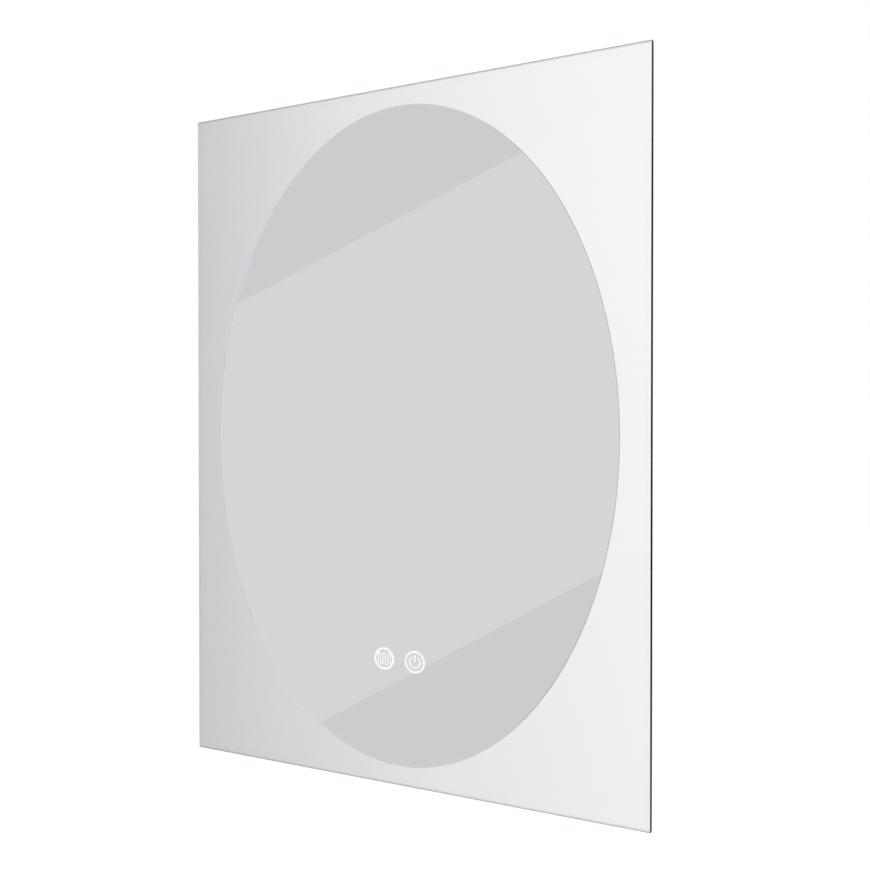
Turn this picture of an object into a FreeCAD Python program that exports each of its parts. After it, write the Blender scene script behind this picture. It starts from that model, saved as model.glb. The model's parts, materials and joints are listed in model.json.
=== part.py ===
"""A lighted bathroom mirror: a rectangular pane, silvered in an upright oval and frosted round it, on a slim
aluminium chassis that holds the lights and hangs on a wall rail.

Lengths are in millimetres. X points right, Y into the wall and Z up. The wall is the plane Y = 0 and the origin
is midway between the two screw slots of the wall rail.
"""
import FreeCAD, Part
import math
import os

from FreeCAD import Vector

# ------------------------------------------------------------------------------------------ glass
glass_width = 500.0
glass_height = 700.0
glass_thickness = 5.0
glass_arris = 0.7
border_at_sides = 28.8        # frosted border at its narrowest, left and right
border_at_ends = 18.4         # and above and below
film_thickness = 0.08         # the silver with its backing paint, and the frosted print
film_gap = 0.02               # keeps the films' faces apart from the back of the glass

# ------------------------------------------------------------------------------------------ touch icons
icon_spacing = 34.4           # between the two icon centres
icon_rise = 125.0             # icon centres above the bottom edge of the glass
ring_diameter = 22.6
ring_stroke = 2.1
power_arc_diameter = 12.9
power_arc_stroke = 1.5
power_arc_opening = 56.0      # degrees left open at the top
power_bar_width = 1.9
power_bar_length = 7.2
power_bar_top = 7.0           # above the icon centre
wave_strokes = 6
wave_pitch = 2.75
wave_stroke = 1.1
wave_half_height = 6.4
wave_tail = 5.2               # free ends below the icon centre

# ------------------------------------------------------------------------------------------ chassis
chassis_inset = 8.0           # chassis side inside the glass edge
profile_depth = 20.5
profile_wall = 1.4
profile_flange = 12.0
profile_edge_radius = 0.5
tape_width = 9.0
tape_thickness = 0.9
bracket_leg = 30.0
bracket_width = 8.0
bracket_thickness = 1.5
bracket_flange_gap = 0.2
bracket_screw_from_corner = 19.0

# ------------------------------------------------------------------------------------------ back panel
panel_thickness = 1.0
panel_margin = 0.5            # panel edge inside the chassis side
panel_corner_radius = 3.0
panel_screw_end_gap = 30.0    # end screws from the chassis corners
upright_screw_count = 4
level_screw_count = 3
bead_length = 380.0
bead_width = 14.0
bead_height = 1.8
bead_bevel = 1.2
bead_heights = (130.0, -40.0)  # above the glass centre
vent_count = 10
vent_pitch = 9.0
vent_width = 3.0
vent_height = 22.0
vent_offset = 60.0            # vent rows above and below the driver

# ------------------------------------------------------------------------------------------ fasteners
m3_radius = 1.5
m3_head_radius = 2.9
m3_head_height = 1.8
m4_radius = 2.0
m4_head_radius = 3.8
m4_head_height = 2.2
m4_nut_across_flats = 7.0
m4_nut_height = 3.2
screw_play = 0.2              # radial clearance of a screw in a plain hole
thread_play = 0.02            # radial clearance of a screw in its thread
screw_tip = 1.2               # how far a screw stands out of its last thread
recess_width = 0.8
recess_share = 0.55           # cross recess span as a share of the head's diameter

# ------------------------------------------------------------------------------------------ wall rail and hanger
rail_below_top = 110.0        # screw slots below the top edge of the glass
rail_length = 380.0
rail_thickness = 1.5
rail_plate_half = 10.0        # wall plate above and below the slots
rail_standoff = 4.0           # clear space between the rail's lip and the wall
rail_lip_height = 12.0
bend_radius = 0.5             # inside the bends of both sheet rails
slot_spacing = 300.0
slot_length = 12.0
slot_width = 5.5
lip_clearance = 2.0           # between the rail's lip and the mirror's back
hanger_thickness = 1.5
hanger_hook_play = 0.2        # between the rail's lip and the inside of the hook's bend
hanger_hook_depth = 10.0      # how far the hook reaches behind the rail's lip
hanger_plate_height = 20.5
hanger_end_gap = 3.0
hanger_bar_thickness = 3.0
hanger_inner_screws = (-140.0, -50.0, 50.0, 140.0)
bumper_radius = 10.0
bumper_from_side = 50.0
bumper_bevel = 1.0

# ------------------------------------------------------------------------------------------ light strips
strip_width = 8.0
strip_thickness = 1.0
strip_flange_gap = 0.3        # between the strip and the rear flange
strip_end_gap = 20.0
chip_length = 5.0
chip_width = 2.8
chip_height = 0.9
chip_pitch = 25.0
wire_radius = 0.8
wire_gap = 0.1                # between a wire and the face that it lies on
wire_bend = 5.0
link_bend = 8.0
link_overlap = 6.0            # corner links lie this far on the strips

# ------------------------------------------------------------------------------------------ demister
pad_width = 280.0
pad_height = 300.0
pad_thickness = 0.4
pad_above_driver = 30.0       # lower edge of the pad above the driver
track_thickness = 0.1
track_width = 3.0
track_pitch = 14.0
track_margin = 10.0
demister_lead_spacing = 8.0

# ------------------------------------------------------------------------------------------ touch boards
touch_size = 28.0
touch_thickness = 1.2
touch_tape_wall = 2.0
touch_tape_thickness = 1.0
lamp_length = 3.5
lamp_width = 2.8
lamp_height = 0.8
touch_lead_rise = 12.0        # straight wire above the board before it turns back

# ------------------------------------------------------------------------------------------ driver
driver_length = 150.0
driver_width = 40.0
driver_height = 18.0
driver_wall = 1.6
driver_x = -75.0
driver_above_icons = 75.0     # driver centre above the icon centres
driver_ear_length = 11.0
driver_ear_width = 12.0
driver_ear_thickness = 3.0
lid_lip = 1.2
lid_play = 0.15
board_thickness = 1.6
board_post_height = 2.5
board_post_radius = 2.5
board_play = 0.5
connector_length = 8.0
connector_height = 7.0
connector_end_gap = 2.4       # connector from the driver's end wall
input_connector_width = 28.0
output_connector_width = 16.0
header_width = 16.0
touch_header_width = 24.0
touch_hole_from_end = (24.0, 40.0)
demister_header_from_centre = 40.0
transformer_size = (24.0, 9.5, 20.0)
capacitor_radius = 4.0
capacitor_height = 9.0
capacitor_spacing = 10.0
feed_lead_spacing = 10.0
clip_length = 6.0
clip_wall = 1.5

# ------------------------------------------------------------------------------------------ terminal box
tub_x = 95.0
tub_length = 74.0
tub_width = 40.0
tub_depth = 18.0
tub_wall = 1.6
tub_rim = 9.0
tub_boss_radius = 3.0
tub_boss_depth = 6.0
cover_thickness = 2.0
cover_corner_radius = 4.0
block_length = 18.0
block_pole_pitch = 10.0
block_poles = 3
block_height = 12.5
block_from_end = 5.0          # block from the tub's end wall
insert_radius = 2.15
insert_bore_radius = 1.4
insert_play = 0.05
insert_above_floor = 5.5
insert_recess = 1.0           # brass inserts inside the block's ends
clamp_screw_radius = 1.25
clamp_screw_head_radius = 1.9
clamp_screw_head_height = 1.6
clamp_screw_from_end = 5.0
clamp_well_radius = 2.1
mains_radius = 1.1
mains_in_block = 6.5
mains_hole_play = 0.15
cord_clamp_gap = 8.0          # clamp bar from the terminal block
cord_clamp_length = 28.0
cord_clamp_width = 7.0
cord_clamp_thickness = 4.0
cord_post_height = 7.0
cord_post_radius = 3.0
cord_screw_from_end = 4.0
grommet_x = 22.0              # grommet centre from the tub's centre
grommet_bore_radius = 4.0
grommet_neck_radius = 6.0
grommet_flange_radius = 8.0
grommet_flange_thickness = 1.5
earth_from_tub = 22.0
earth_drop = 24.0
lug_radius = 4.2
lug_thickness = 0.8
lug_barrel_length = 6.0
lug_barrel_wall = 0.6

# ------------------------------------------------------------------------------------------ places worked out
wall_gap = rail_standoff + rail_thickness + lip_clearance
panel_back = -wall_gap
panel_front = panel_back - panel_thickness
chassis_front = panel_front - profile_depth
film_back = chassis_front - tape_thickness
film_front = film_back - film_thickness
glass_back = film_front - film_gap
glass_front = glass_back - glass_thickness

centre_z = rail_below_top - glass_height / 2
half_width = glass_width / 2 - chassis_inset
half_height = glass_height / 2 - chassis_inset
oval_width = glass_width - 2 * border_at_sides
oval_height = glass_height - 2 * border_at_ends
icon_z = centre_z - glass_height / 2 + icon_rise

strip_back = panel_front - profile_wall - strip_flange_gap
strip_front = strip_back - strip_width
strip_inward = profile_wall + strip_thickness
wire_level = strip_front + wire_radius + strip_flange_gap

driver_z = icon_z + driver_above_icons
driver_left = driver_x - driver_length / 2
driver_right = driver_x + driver_length / 2
driver_front = panel_front - driver_height
board_back = panel_front - driver_wall - board_post_height
board_front = board_back - board_thickness
demister_lead_x = driver_x - demister_header_from_centre
pad_low = driver_z + driver_width / 2 + pad_above_driver

tub_floor = panel_front - tub_depth + tub_wall
tub_left = tub_x - tub_length / 2
block_left = tub_left + block_from_end
block_back = tub_floor + block_height
mains_level = tub_floor + insert_above_floor

sides = ("top", "bottom", "left", "right")
reach_over = 1.0              # how far a cutting tool stands out of what it cuts


# ------------------------------------------------------------------------------------------ shape helpers
def box(x0, x1, y0, y1, z0, z1):
    """A box between two opposite corners."""
    low = Vector(min(x0, x1), min(y0, y1), min(z0, z1))
    return Part.makeBox(abs(x1 - x0), abs(y1 - y0), abs(z1 - z0), low)


def disc(x, z, radius, y0, y1):
    """A round bar along Y."""
    return Part.makeCylinder(radius, abs(y1 - y0), Vector(x, min(y0, y1), z), Vector(0, 1, 0))


def bar_x(y, z, radius, x0, x1):
    """A round bar along X."""
    return Part.makeCylinder(radius, abs(x1 - x0), Vector(min(x0, x1), y, z), Vector(1, 0, 0))


def bar_z(x, y, radius, z0, z1):
    """A round bar along Z."""
    return Part.makeCylinder(radius, abs(z1 - z0), Vector(x, y, min(z0, z1)), Vector(0, 0, 1))


def fused(shapes):
    """One solid from several that touch."""
    return shapes[0].multiFuse(shapes[1:]).removeSplitter()


def drilled(solid, tools):
    """The solid without the tools."""
    return solid.cut(Part.makeCompound(tools))


def rounded_wire(corners, radii):
    """A closed flat wire through the corners, with an arc of the given radius at each one."""
    edges = []
    starts = []
    ends = []
    arcs = []
    count = len(corners)
    for index, corner in enumerate(corners):
        back = (corners[index - 1] - corner).normalize()
        onward = (corners[(index + 1) % count] - corner).normalize()
        radius = radii[index]
        if radius == 0:
            starts.append(corner)
            ends.append(corner)
            arcs.append(None)
            continue
        half = back.getAngle(onward) / 2
        setback = radius / math.tan(half)
        middle = corner + (back + onward).normalize() * (radius / math.sin(half) - radius)
        starts.append(corner + back * setback)
        ends.append(corner + onward * setback)
        arcs.append(middle)
    for index in range(count):
        if arcs[index] is not None:
            edges.append(Part.Arc(starts[index], arcs[index], ends[index]).toShape())
        edges.append(Part.LineSegment(ends[index], starts[(index + 1) % count]).toShape())
    return Part.Wire(edges)


def polygon_prism(corners, run):
    """A flat polygon carried along a vector."""
    return Part.Face(Part.makePolygon(corners + corners[:1])).extrude(run)


def rounded_plate(x, z, width, height, radius, y0, y1):
    """A plate with round corners, square to Y."""
    corners = [Vector(x + across * width / 2, y0, z + up * height / 2)
               for across, up in ((-1, -1), (1, -1), (1, 1), (-1, 1))]
    return Part.Face(rounded_wire(corners, [radius] * 4)).extrude(Vector(0, y1 - y0, 0))


def slot_level(x, z, length, width, y0, y1):
    """A round-ended slot along X, square to Y."""
    reach = (length - width) / 2
    middle = box(x - reach, x + reach, y0, y1, z - width / 2, z + width / 2)
    return fused([middle, disc(x - reach, z, width / 2, y0, y1), disc(x + reach, z, width / 2, y0, y1)])


def slot_upright(x, z, width, height, y0, y1):
    """A round-ended slot along Z, square to Y."""
    reach = (height - width) / 2
    middle = box(x - width / 2, x + width / 2, y0, y1, z - reach, z + reach)
    return fused([middle, disc(x, z - reach, width / 2, y0, y1), disc(x, z + reach, width / 2, y0, y1)])


def oval_plate(width, height, y0, y1):
    """The upright oval about the glass centre."""
    centre = Vector(0, y0, centre_z)
    outline = Part.Ellipse(centre + Vector(0, 0, height / 2), centre + Vector(width / 2, 0, 0), centre)
    return Part.Face(Part.Wire([outline.toShape()])).extrude(Vector(0, y1 - y0, 0))


def ring_plate(x, z, outer_diameter, stroke, y0, y1):
    """A flat ring square to Y."""
    outer = disc(x, z, outer_diameter / 2, y0, y1)
    return outer.cut(disc(x, z, outer_diameter / 2 - stroke, y0, y1))


def tube(points, radius, bend):
    """A round wire along straight runs, joined by tangent arcs."""
    edges = []
    start = points[0]
    for before, corner, after in zip(points, points[1:], points[2:]):
        back = (before - corner).normalize()
        onward = (after - corner).normalize()
        half = back.getAngle(onward) / 2
        setback = bend / math.tan(half)
        middle = corner + (back + onward).normalize() * (bend / math.sin(half) - bend)
        edges.append(Part.LineSegment(start, corner + back * setback).toShape())
        edges.append(Part.Arc(corner + back * setback, middle, corner + onward * setback).toShape())
        start = corner + onward * setback
    edges.append(Part.LineSegment(start, points[-1]).toShape())
    section = Part.Wire([Part.Circle(points[0], points[1] - points[0], radius).toShape()])
    return Part.Wire(edges).makePipeShell([section], True, False)


def pan_screw(seat, towards, radius, reach, head_radius, head_height):
    """A pan-head screw with a cross recess. Its head stands on the seat and points one way, its shank the other."""
    head = Part.makeCylinder(head_radius, head_height)
    rim = [edge for edge in head.Edges if edge.BoundBox.ZMin > head_height / 2]
    head = head.makeFillet(head_height / 2, rim)
    arm = head_radius * recess_share
    floor = head_height / 2
    depth = head_height
    recess = [Part.makeBox(2 * arm, recess_width, depth, Vector(-arm, -recess_width / 2, floor)),
              Part.makeBox(recess_width, 2 * arm, depth, Vector(-recess_width / 2, -arm, floor))]
    shank = Part.makeCylinder(radius, reach, Vector(0, 0, -reach))
    screw = drilled(head, recess).fuse(shank).removeSplitter()
    screw.Placement = FreeCAD.Placement(seat, FreeCAD.Rotation(Vector(0, 0, 1), towards))
    return screw


def back_screw(x, z, seat_y, reach, radius=m3_radius, head_radius=m3_head_radius, head_height=m3_head_height):
    """A screw driven in from the back, along Y."""
    return pan_screw(Vector(x, seat_y, z), Vector(0, 1, 0), radius, reach, head_radius, head_height)


# ------------------------------------------------------------------------------------------ places on the chassis
def side_half(side):
    """Half the length of one side of the chassis."""
    return half_width if side in ("top", "bottom") else half_height


def side_point(side, inward, along, y):
    """A point given by its distance inwards from a side of the chassis and along that side."""
    if side == "top":
        return Vector(along, y, centre_z + half_height - inward)
    if side == "bottom":
        return Vector(along, y, centre_z - half_height + inward)
    if side == "left":
        return Vector(-half_width + inward, y, centre_z + along)
    return Vector(half_width - inward, y, centre_z + along)


def side_box(side, inward, along, depth):
    """A box beside one side of the chassis, from its spans inwards, along the side and in Y."""
    low = side_point(side, inward[0], along[0], depth[0])
    high = side_point(side, inward[1], along[1], depth[1])
    return box(low.x, high.x, low.y, high.y, low.z, high.z)


def corner_point(side, next_side, inward, y):
    """The corner where two sides meet, the same distance inwards from both."""
    first = side_point(side, inward, 0, y)
    second = side_point(next_side, inward, 0, y)
    return Vector(first.x + second.x, y, first.z + second.z - centre_z)


def evenly(reach, count):
    """Places from -reach to reach, the same distance apart."""
    return [reach * (2 * index / (count - 1) - 1) for index in range(count)]


def panel_screw_places():
    """Centres of the screws that hold the back panel to the rear flanges."""
    places = []
    for side in sides:
        count = level_screw_count if side in ("top", "bottom") else upright_screw_count
        for along in evenly(side_half(side) - panel_screw_end_gap, count):
            places.append(side_point(side, profile_flange / 2, along, panel_back))
    return places


def corner_screw_places():
    """Side, seat and outward direction of each screw that holds a corner bracket."""
    y = chassis_front + profile_wall + bracket_flange_gap + bracket_width / 2
    places = []
    for side in sides:
        outward = (side_point(side, 0, 0, 0) - side_point(side, 1, 0, 0)).normalize()
        for end in (-1, 1):
            along = end * (side_half(side) - bracket_screw_from_corner)
            places.append((side, side_point(side, 0, along, y), outward))
    return places


def hanger_screw_places():
    """Centres of the hanger's screws: the inner ones go into the bar, the outer two into the side flanges."""
    z = hanger_seat_z() + hanger_plate_height / 2 + hanger_thickness / 2
    inner = [Vector(x, panel_back + hanger_thickness, z) for x in hanger_inner_screws]
    reach = half_width - profile_flange / 2
    outer = [Vector(x, panel_back + hanger_thickness, z) for x in (-reach, reach)]
    return inner, outer


def hanger_seat_z():
    """The height of the rail's lip, on which the hanger rests."""
    return rail_plate_half + rail_lip_height


# ------------------------------------------------------------------------------------------ glass and its films
def power_icon():
    """Ring, open arc and bar of the light's icon."""
    x = icon_spacing / 2
    span = (film_front, film_back)
    arc = ring_plate(x, icon_z, power_arc_diameter, power_arc_stroke, *span)
    lean = math.radians(power_arc_opening / 2)
    reach = power_arc_diameter
    notch = polygon_prism([Vector(x, film_front, icon_z),
                           Vector(x - reach * math.sin(lean), film_front, icon_z + reach * math.cos(lean)),
                           Vector(x + reach * math.sin(lean), film_front, icon_z + reach * math.cos(lean))],
                          Vector(0, film_thickness, 0))
    top = icon_z + power_bar_top
    bar = box(x - power_bar_width / 2, x + power_bar_width / 2, *span, top - power_bar_length, top)
    return [ring_plate(x, icon_z, ring_diameter, ring_stroke, *span), arc.cut(notch), bar]


def demister_icon():
    """Ring and wave of the demister's icon."""
    x = -icon_spacing / 2
    span = (film_front, film_back)
    turn = wave_pitch / 2
    outer = turn + wave_stroke / 2
    straight = wave_half_height - outer
    pieces = []
    first = x - wave_pitch * (wave_strokes - 1) / 2
    for index in range(wave_strokes):
        stroke_x = first + index * wave_pitch
        free_end = index in (0, wave_strokes - 1)
        low = wave_tail if free_end else straight
        pieces.append(box(stroke_x - wave_stroke / 2, stroke_x + wave_stroke / 2, *span,
                          icon_z - low, icon_z + straight))
    for index in range(wave_strokes - 1):
        turn_x = first + (index + 0.5) * wave_pitch
        up = 1 if index % 2 == 0 else -1
        turn_z = icon_z + up * straight
        loop = ring_plate(turn_x, turn_z, 2 * outer, wave_stroke, *span)
        half = box(turn_x - outer, turn_x + outer, *span, turn_z, turn_z + up * outer)
        pieces.append(loop.common(half))
    return [ring_plate(x, icon_z, ring_diameter, ring_stroke, *span), fused(pieces)]


def glass_nodes():
    """The pane, the silver and frosting on its back, and the icons left clear in the silver."""
    half_w = glass_width / 2
    half_h = glass_height / 2
    pane = box(-half_w, half_w, glass_front, glass_back, centre_z - half_h, centre_z + half_h)
    pane = pane.makeChamfer(glass_arris, pane.Edges)
    oval = oval_plate(oval_width, oval_height, film_front, film_back)
    flat_w = half_w - glass_arris
    flat_h = half_h - glass_arris
    border = box(-flat_w, flat_w, film_front, film_back, centre_z - flat_h, centre_z + flat_h).cut(oval)
    power = power_icon()
    demister = demister_icon()
    return {
        "mirror_glass": [pane],
        "mirror_silvering": drilled(oval, power + demister).Solids,
        "frosted_border": [border],
        "power_icon": power,
        "demister_icon": demister,
    }


# ------------------------------------------------------------------------------------------ chassis
def channel_profile(side):
    """One aluminium channel with mitred ends, open towards the middle of the mirror."""
    half = side_half(side)
    front = chassis_front
    back = panel_front
    outline = [(0, front), (profile_flange, front), (profile_flange, front + profile_wall),
               (profile_wall, front + profile_wall), (profile_wall, back - profile_wall),
               (profile_flange, back - profile_wall), (profile_flange, back), (0, back)]
    corners = [side_point(side, inward, -half, y) for inward, y in outline]
    radii = [profile_edge_radius] + [0] * 6 + [profile_edge_radius]
    run = side_point(side, 0, half, 0) - side_point(side, 0, -half, 0)
    bar = Part.Face(rounded_wire(corners, radii)).extrude(run)
    outer = half + reach_over
    inner = half - profile_flange - reach_over
    mitre = polygon_prism([side_point(side, -reach_over, -outer, front - reach_over),
                           side_point(side, -reach_over, outer, front - reach_over),
                           side_point(side, profile_flange + reach_over, inner, front - reach_over),
                           side_point(side, profile_flange + reach_over, -inner, front - reach_over)],
                          Vector(0, profile_depth + 2 * reach_over, 0))
    return bar.common(mitre)


def chassis_holes():
    """Threads for the panel and hanger screws, and plain holes for the corner screws."""
    thread = m3_radius + thread_play
    rear = [(place.x, place.z) for place in panel_screw_places() + hanger_screw_places()[1]]
    holes = [disc(x, z, thread, panel_front - profile_wall - reach_over, panel_front + reach_over)
             for x, z in rear]
    for side, seat, outward in corner_screw_places():
        start = seat + outward * reach_over
        holes.append(Part.makeCylinder(m3_radius + screw_play, profile_wall + 2 * reach_over, start, outward * -1))
    return holes


def corner_bracket(level_side, end, upright_side, up):
    """One bent steel angle inside a corner of the chassis."""
    depth_start = chassis_front + profile_wall + bracket_flange_gap
    depth = (depth_start, depth_start + bracket_width)
    inward = (profile_wall, profile_wall + bracket_thickness)
    legs = []
    for side, sign in ((level_side, end), (upright_side, up)):
        corner = side_half(side) - profile_wall
        legs.append(side_box(side, inward, (sign * (corner - bracket_leg), sign * corner), depth))
    holes = []
    for side, seat, outward in corner_screw_places():
        if side in (level_side, upright_side):
            holes.append(Part.makeCylinder(m3_radius + thread_play, 3 * bracket_thickness, seat, outward * -1))
    return drilled(fused(legs), holes)


def chassis_nodes():
    """Four channels, their corner brackets and screws, and the tape that bonds them to the glass."""
    holes = chassis_holes()
    nodes = {"frame_" + side: [drilled(channel_profile(side), holes)] for side in sides}
    nodes["corner_brackets"] = [corner_bracket(level, end, upright, up)
                                for level, up in (("top", 1), ("bottom", -1))
                                for upright, end in (("left", -1), ("right", 1))]
    reach = profile_wall + bracket_thickness + screw_tip
    nodes["corner_screws"] = [pan_screw(seat, outward, m3_radius, reach, m3_head_radius, m3_head_height)
                              for side, seat, outward in corner_screw_places()]
    start = (profile_flange - tape_width) / 2
    across = (start, start + tape_width)
    depth = (film_back, chassis_front)
    tapes = []
    for side in sides:
        upright = side in ("left", "right")
        end = side_half(side) - (across[1] if upright else across[0])
        tapes.append(side_box(side, across, (-end, end), depth))
    nodes["bond_tape"] = tapes
    return nodes


def bead(z):
    """Outside and inside of a pressed stiffening bead along X."""
    top = panel_back + bead_height
    outside = slot_level(0, z, bead_length, bead_width, panel_back, top)
    rim = [edge for edge in outside.Edges if edge.BoundBox.YMin > top - bead_height / 2]
    outside = outside.makeChamfer(bead_bevel, rim)
    shrink = 2 * (bead_bevel + panel_thickness)
    inside = slot_level(0, z, bead_length - shrink, bead_width - shrink, panel_front - reach_over,
                        top - panel_thickness)
    return outside, inside


def panel_nodes():
    """The sheet-metal back with its beads, vents and openings, and the screws that hold it."""
    width = 2 * (half_width - panel_margin)
    height = 2 * (half_height - panel_margin)
    sheet = rounded_plate(0, centre_z, width, height, panel_corner_radius, panel_front, panel_back)
    beads = [bead(centre_z + up) for up in bead_heights]
    sheet = fused([sheet] + [outside for outside, inside in beads])
    through = (panel_front - reach_over, panel_back + bead_height + reach_over)
    plain = m3_radius + screw_play
    cuts = [inside for outside, inside in beads]
    inner, outer = hanger_screw_places()
    places = panel_screw_places() + inner + outer + driver_screw_places() + cover_screw_places()
    cuts += [disc(place.x, place.z, plain, *through) for place in places]
    earth = earth_place()
    cuts.append(disc(earth.x, earth.z, m4_radius + screw_play, *through))
    cuts.append(box(tub_left, tub_left + tub_length, *through, driver_z - tub_width / 2, driver_z + tub_width / 2))
    first = driver_x - vent_pitch * (vent_count - 1) / 2
    for row in (-vent_offset, vent_offset):
        cuts += [slot_upright(first + index * vent_pitch, driver_z + row, vent_width, vent_height, *through)
                 for index in range(vent_count)]
    reach = panel_thickness + profile_wall + screw_tip
    screws = [back_screw(place.x, place.z, panel_back, reach) for place in panel_screw_places()]
    return {"back_panel": [drilled(sheet, cuts)], "panel_screws": screws}


# ------------------------------------------------------------------------------------------ light strips
def strip_half(side):
    """Half the length of the light strip on one side."""
    return side_half(side) - profile_wall - strip_end_gap


def strip_nodes():
    """A strip of light chips on the inside of each channel, and the wires that link them round the corners."""
    nodes = {}
    chips = []
    middle = (strip_front + strip_back) / 2
    for side in sides:
        half = strip_half(side)
        nodes["led_strip_" + side] = [side_box(side, (profile_wall, strip_inward), (-half, half),
                                               (strip_front, strip_back))]
        count = int((2 * half - chip_length) // chip_pitch) + 1
        for along in evenly(chip_pitch * (count - 1) / 2, count):
            chips.append(side_box(side, (strip_inward, strip_inward + chip_height),
                                  (along - chip_length / 2, along + chip_length / 2),
                                  (middle - chip_width / 2, middle + chip_width / 2)))
    nodes["led_chips"] = chips
    inward = strip_inward + wire_gap + wire_radius
    links = []
    for side, end, next_side, next_end in (("left", 1, "top", -1), ("top", 1, "right", 1),
                                           ("right", -1, "bottom", 1)):
        points = [side_point(side, inward, end * (strip_half(side) - link_overlap), wire_level),
                  corner_point(side, next_side, inward, wire_level),
                  side_point(next_side, inward, next_end * (strip_half(next_side) - link_overlap), wire_level)]
        links.append(tube(points, wire_radius, link_bend))
    nodes["strip_links"] = links
    return nodes


# ------------------------------------------------------------------------------------------ demister
def demister_track():
    """The printed heating track: up the left side, down in rows, back to the middle of the lowest row."""
    left = -pad_width / 2 + track_margin
    right = pad_width / 2 - track_margin
    bottom = pad_low + track_margin
    depth = (film_back + pad_thickness, film_back + pad_thickness + track_thickness)
    rows = int((pad_height - 2 * track_margin - track_width) // track_pitch)
    rows -= 1 - rows % 2
    half = demister_lead_spacing / 2
    low_ends = (demister_lead_x - half + track_width / 2, demister_lead_x + half - track_width / 2)
    heights = [bottom + index * track_pitch for index in range(rows + 1)]
    pieces = [box(left, low_ends[0], *depth, bottom, bottom + track_width),
              box(low_ends[1], right, *depth, bottom, bottom + track_width),
              box(left, left + track_width, *depth, bottom, heights[-1] + track_width),
              box(left, right, *depth, heights[-1], heights[-1] + track_width)]
    inner_left = left + track_pitch
    for index in range(1, rows):
        pieces.append(box(inner_left, right, *depth, heights[index], heights[index] + track_width))
    for index in range(rows):
        at_right = index % 2 == 0
        x = right - track_width if at_right else inner_left
        pieces.append(box(x, x + track_width, *depth, heights[index], heights[index + 1] + track_width))
    return fused(pieces), bottom


def demister_nodes():
    """The heating pad on the back of the silver, its track and its leads to the driver."""
    pad = rounded_plate(0, pad_low + pad_height / 2, pad_width, pad_height, panel_corner_radius, film_back,
                        film_back + pad_thickness)
    track, track_bottom = demister_track()
    lying = film_back + pad_thickness + track_thickness + wire_gap + wire_radius
    driver_top = driver_z + driver_width / 2
    leads = []
    for sign in (-1, 1):
        x = demister_lead_x + sign * demister_lead_spacing / 2
        points = [Vector(x, lying, track_bottom + track_width), Vector(x, lying, pad_low),
                  Vector(x, wire_level, driver_top + wire_bend + clip_length),
                  Vector(x, wire_level, header_edge(1) + wire_gap)]
        leads.append(tube(points, wire_radius, wire_bend))
    return {"demister_pad": [pad], "demister_element": [track], "demister_leads": leads}


# ------------------------------------------------------------------------------------------ touch boards
def touch_nodes():
    """A board behind each icon, on a ring of tape, with its lamp and its leads to the driver."""
    board_y = film_back + touch_tape_thickness
    half = touch_size / 2
    driver_bottom = driver_z - driver_width / 2
    names = ("power", "demister")
    nodes = {}
    tapes = []
    lamps = []
    leads = []
    for name, sign, from_end in zip(names, (1, -1), touch_hole_from_end):
        x = sign * icon_spacing / 2
        board = box(x - half, x + half, board_y, board_y + touch_thickness, icon_z - half, icon_z + half)
        nodes["touch_board_" + name] = [board]
        opening = half - touch_tape_wall
        tape = box(x - half, x + half, film_back, board_y, icon_z - half, icon_z + half)
        tapes.append(tape.cut(box(x - opening, x + opening, film_back, board_y,
                                  icon_z - opening, icon_z + opening)))
        lamps.append(box(x - lamp_length / 2, x + lamp_length / 2, board_y - lamp_height, board_y,
                         icon_z - lamp_width / 2, icon_z + lamp_width / 2))
        lying = board_y + touch_thickness + wire_gap + wire_radius
        hole_x = driver_right - from_end
        points = [Vector(x, lying, icon_z + half / 2), Vector(x, lying, icon_z + half),
                  Vector(x, wire_level, icon_z + half + touch_lead_rise),
                  Vector(hole_x, wire_level, driver_bottom - clip_length - wire_bend),
                  Vector(hole_x, wire_level, header_edge(-1) - wire_gap)]
        leads.append(tube(points, wire_radius, wire_bend))
    nodes["touch_tapes"] = tapes
    nodes["icon_lamps"] = lamps
    nodes["touch_leads"] = leads
    return nodes


# ------------------------------------------------------------------------------------------ driver
def header_edge(sign):
    """The height at which a lead meets its header, inside the driver's upper or lower wall."""
    return driver_z + sign * (driver_width / 2 - driver_wall - connector_end_gap)


def feed_lead_heights():
    """The heights of the two leads to the light strips."""
    return [driver_z + sign * feed_lead_spacing / 2 for sign in (-1, 1)]


def pole_height(index):
    """The height of one pole of the terminal block, live first."""
    return driver_z + block_pole_pitch * ((block_poles - 1) / 2 - index)


def driver_screw_places():
    """Centres of the two screws through the driver's ears."""
    reach = driver_length / 2 + driver_ear_length / 2
    return [Vector(driver_x + sign * reach, panel_back, driver_z) for sign in (-1, 1)]


def driver_wire_holes():
    """Bars that cut the wire holes in the driver's walls."""
    radius = wire_radius + mains_hole_play
    cuts = [bar_x(wire_level, z, radius, driver_left - reach_over, driver_left + driver_wall + reach_over)
            for z in feed_lead_heights()]
    mains = mains_radius + mains_hole_play
    cuts += [bar_x(mains_level, pole_height(index), mains, driver_right - driver_wall - reach_over,
                   driver_right + reach_over) for index in (0, 1)]
    bottom = driver_z - driver_width / 2
    cuts += [bar_z(driver_right - from_end, wire_level, radius, bottom - reach_over,
                   bottom + driver_wall + reach_over) for from_end in touch_hole_from_end]
    top = driver_z + driver_width / 2
    cuts += [bar_z(demister_lead_x + sign * demister_lead_spacing / 2, wire_level, radius,
                   top - driver_wall - reach_over, top + reach_over) for sign in (-1, 1)]
    return cuts


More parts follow.
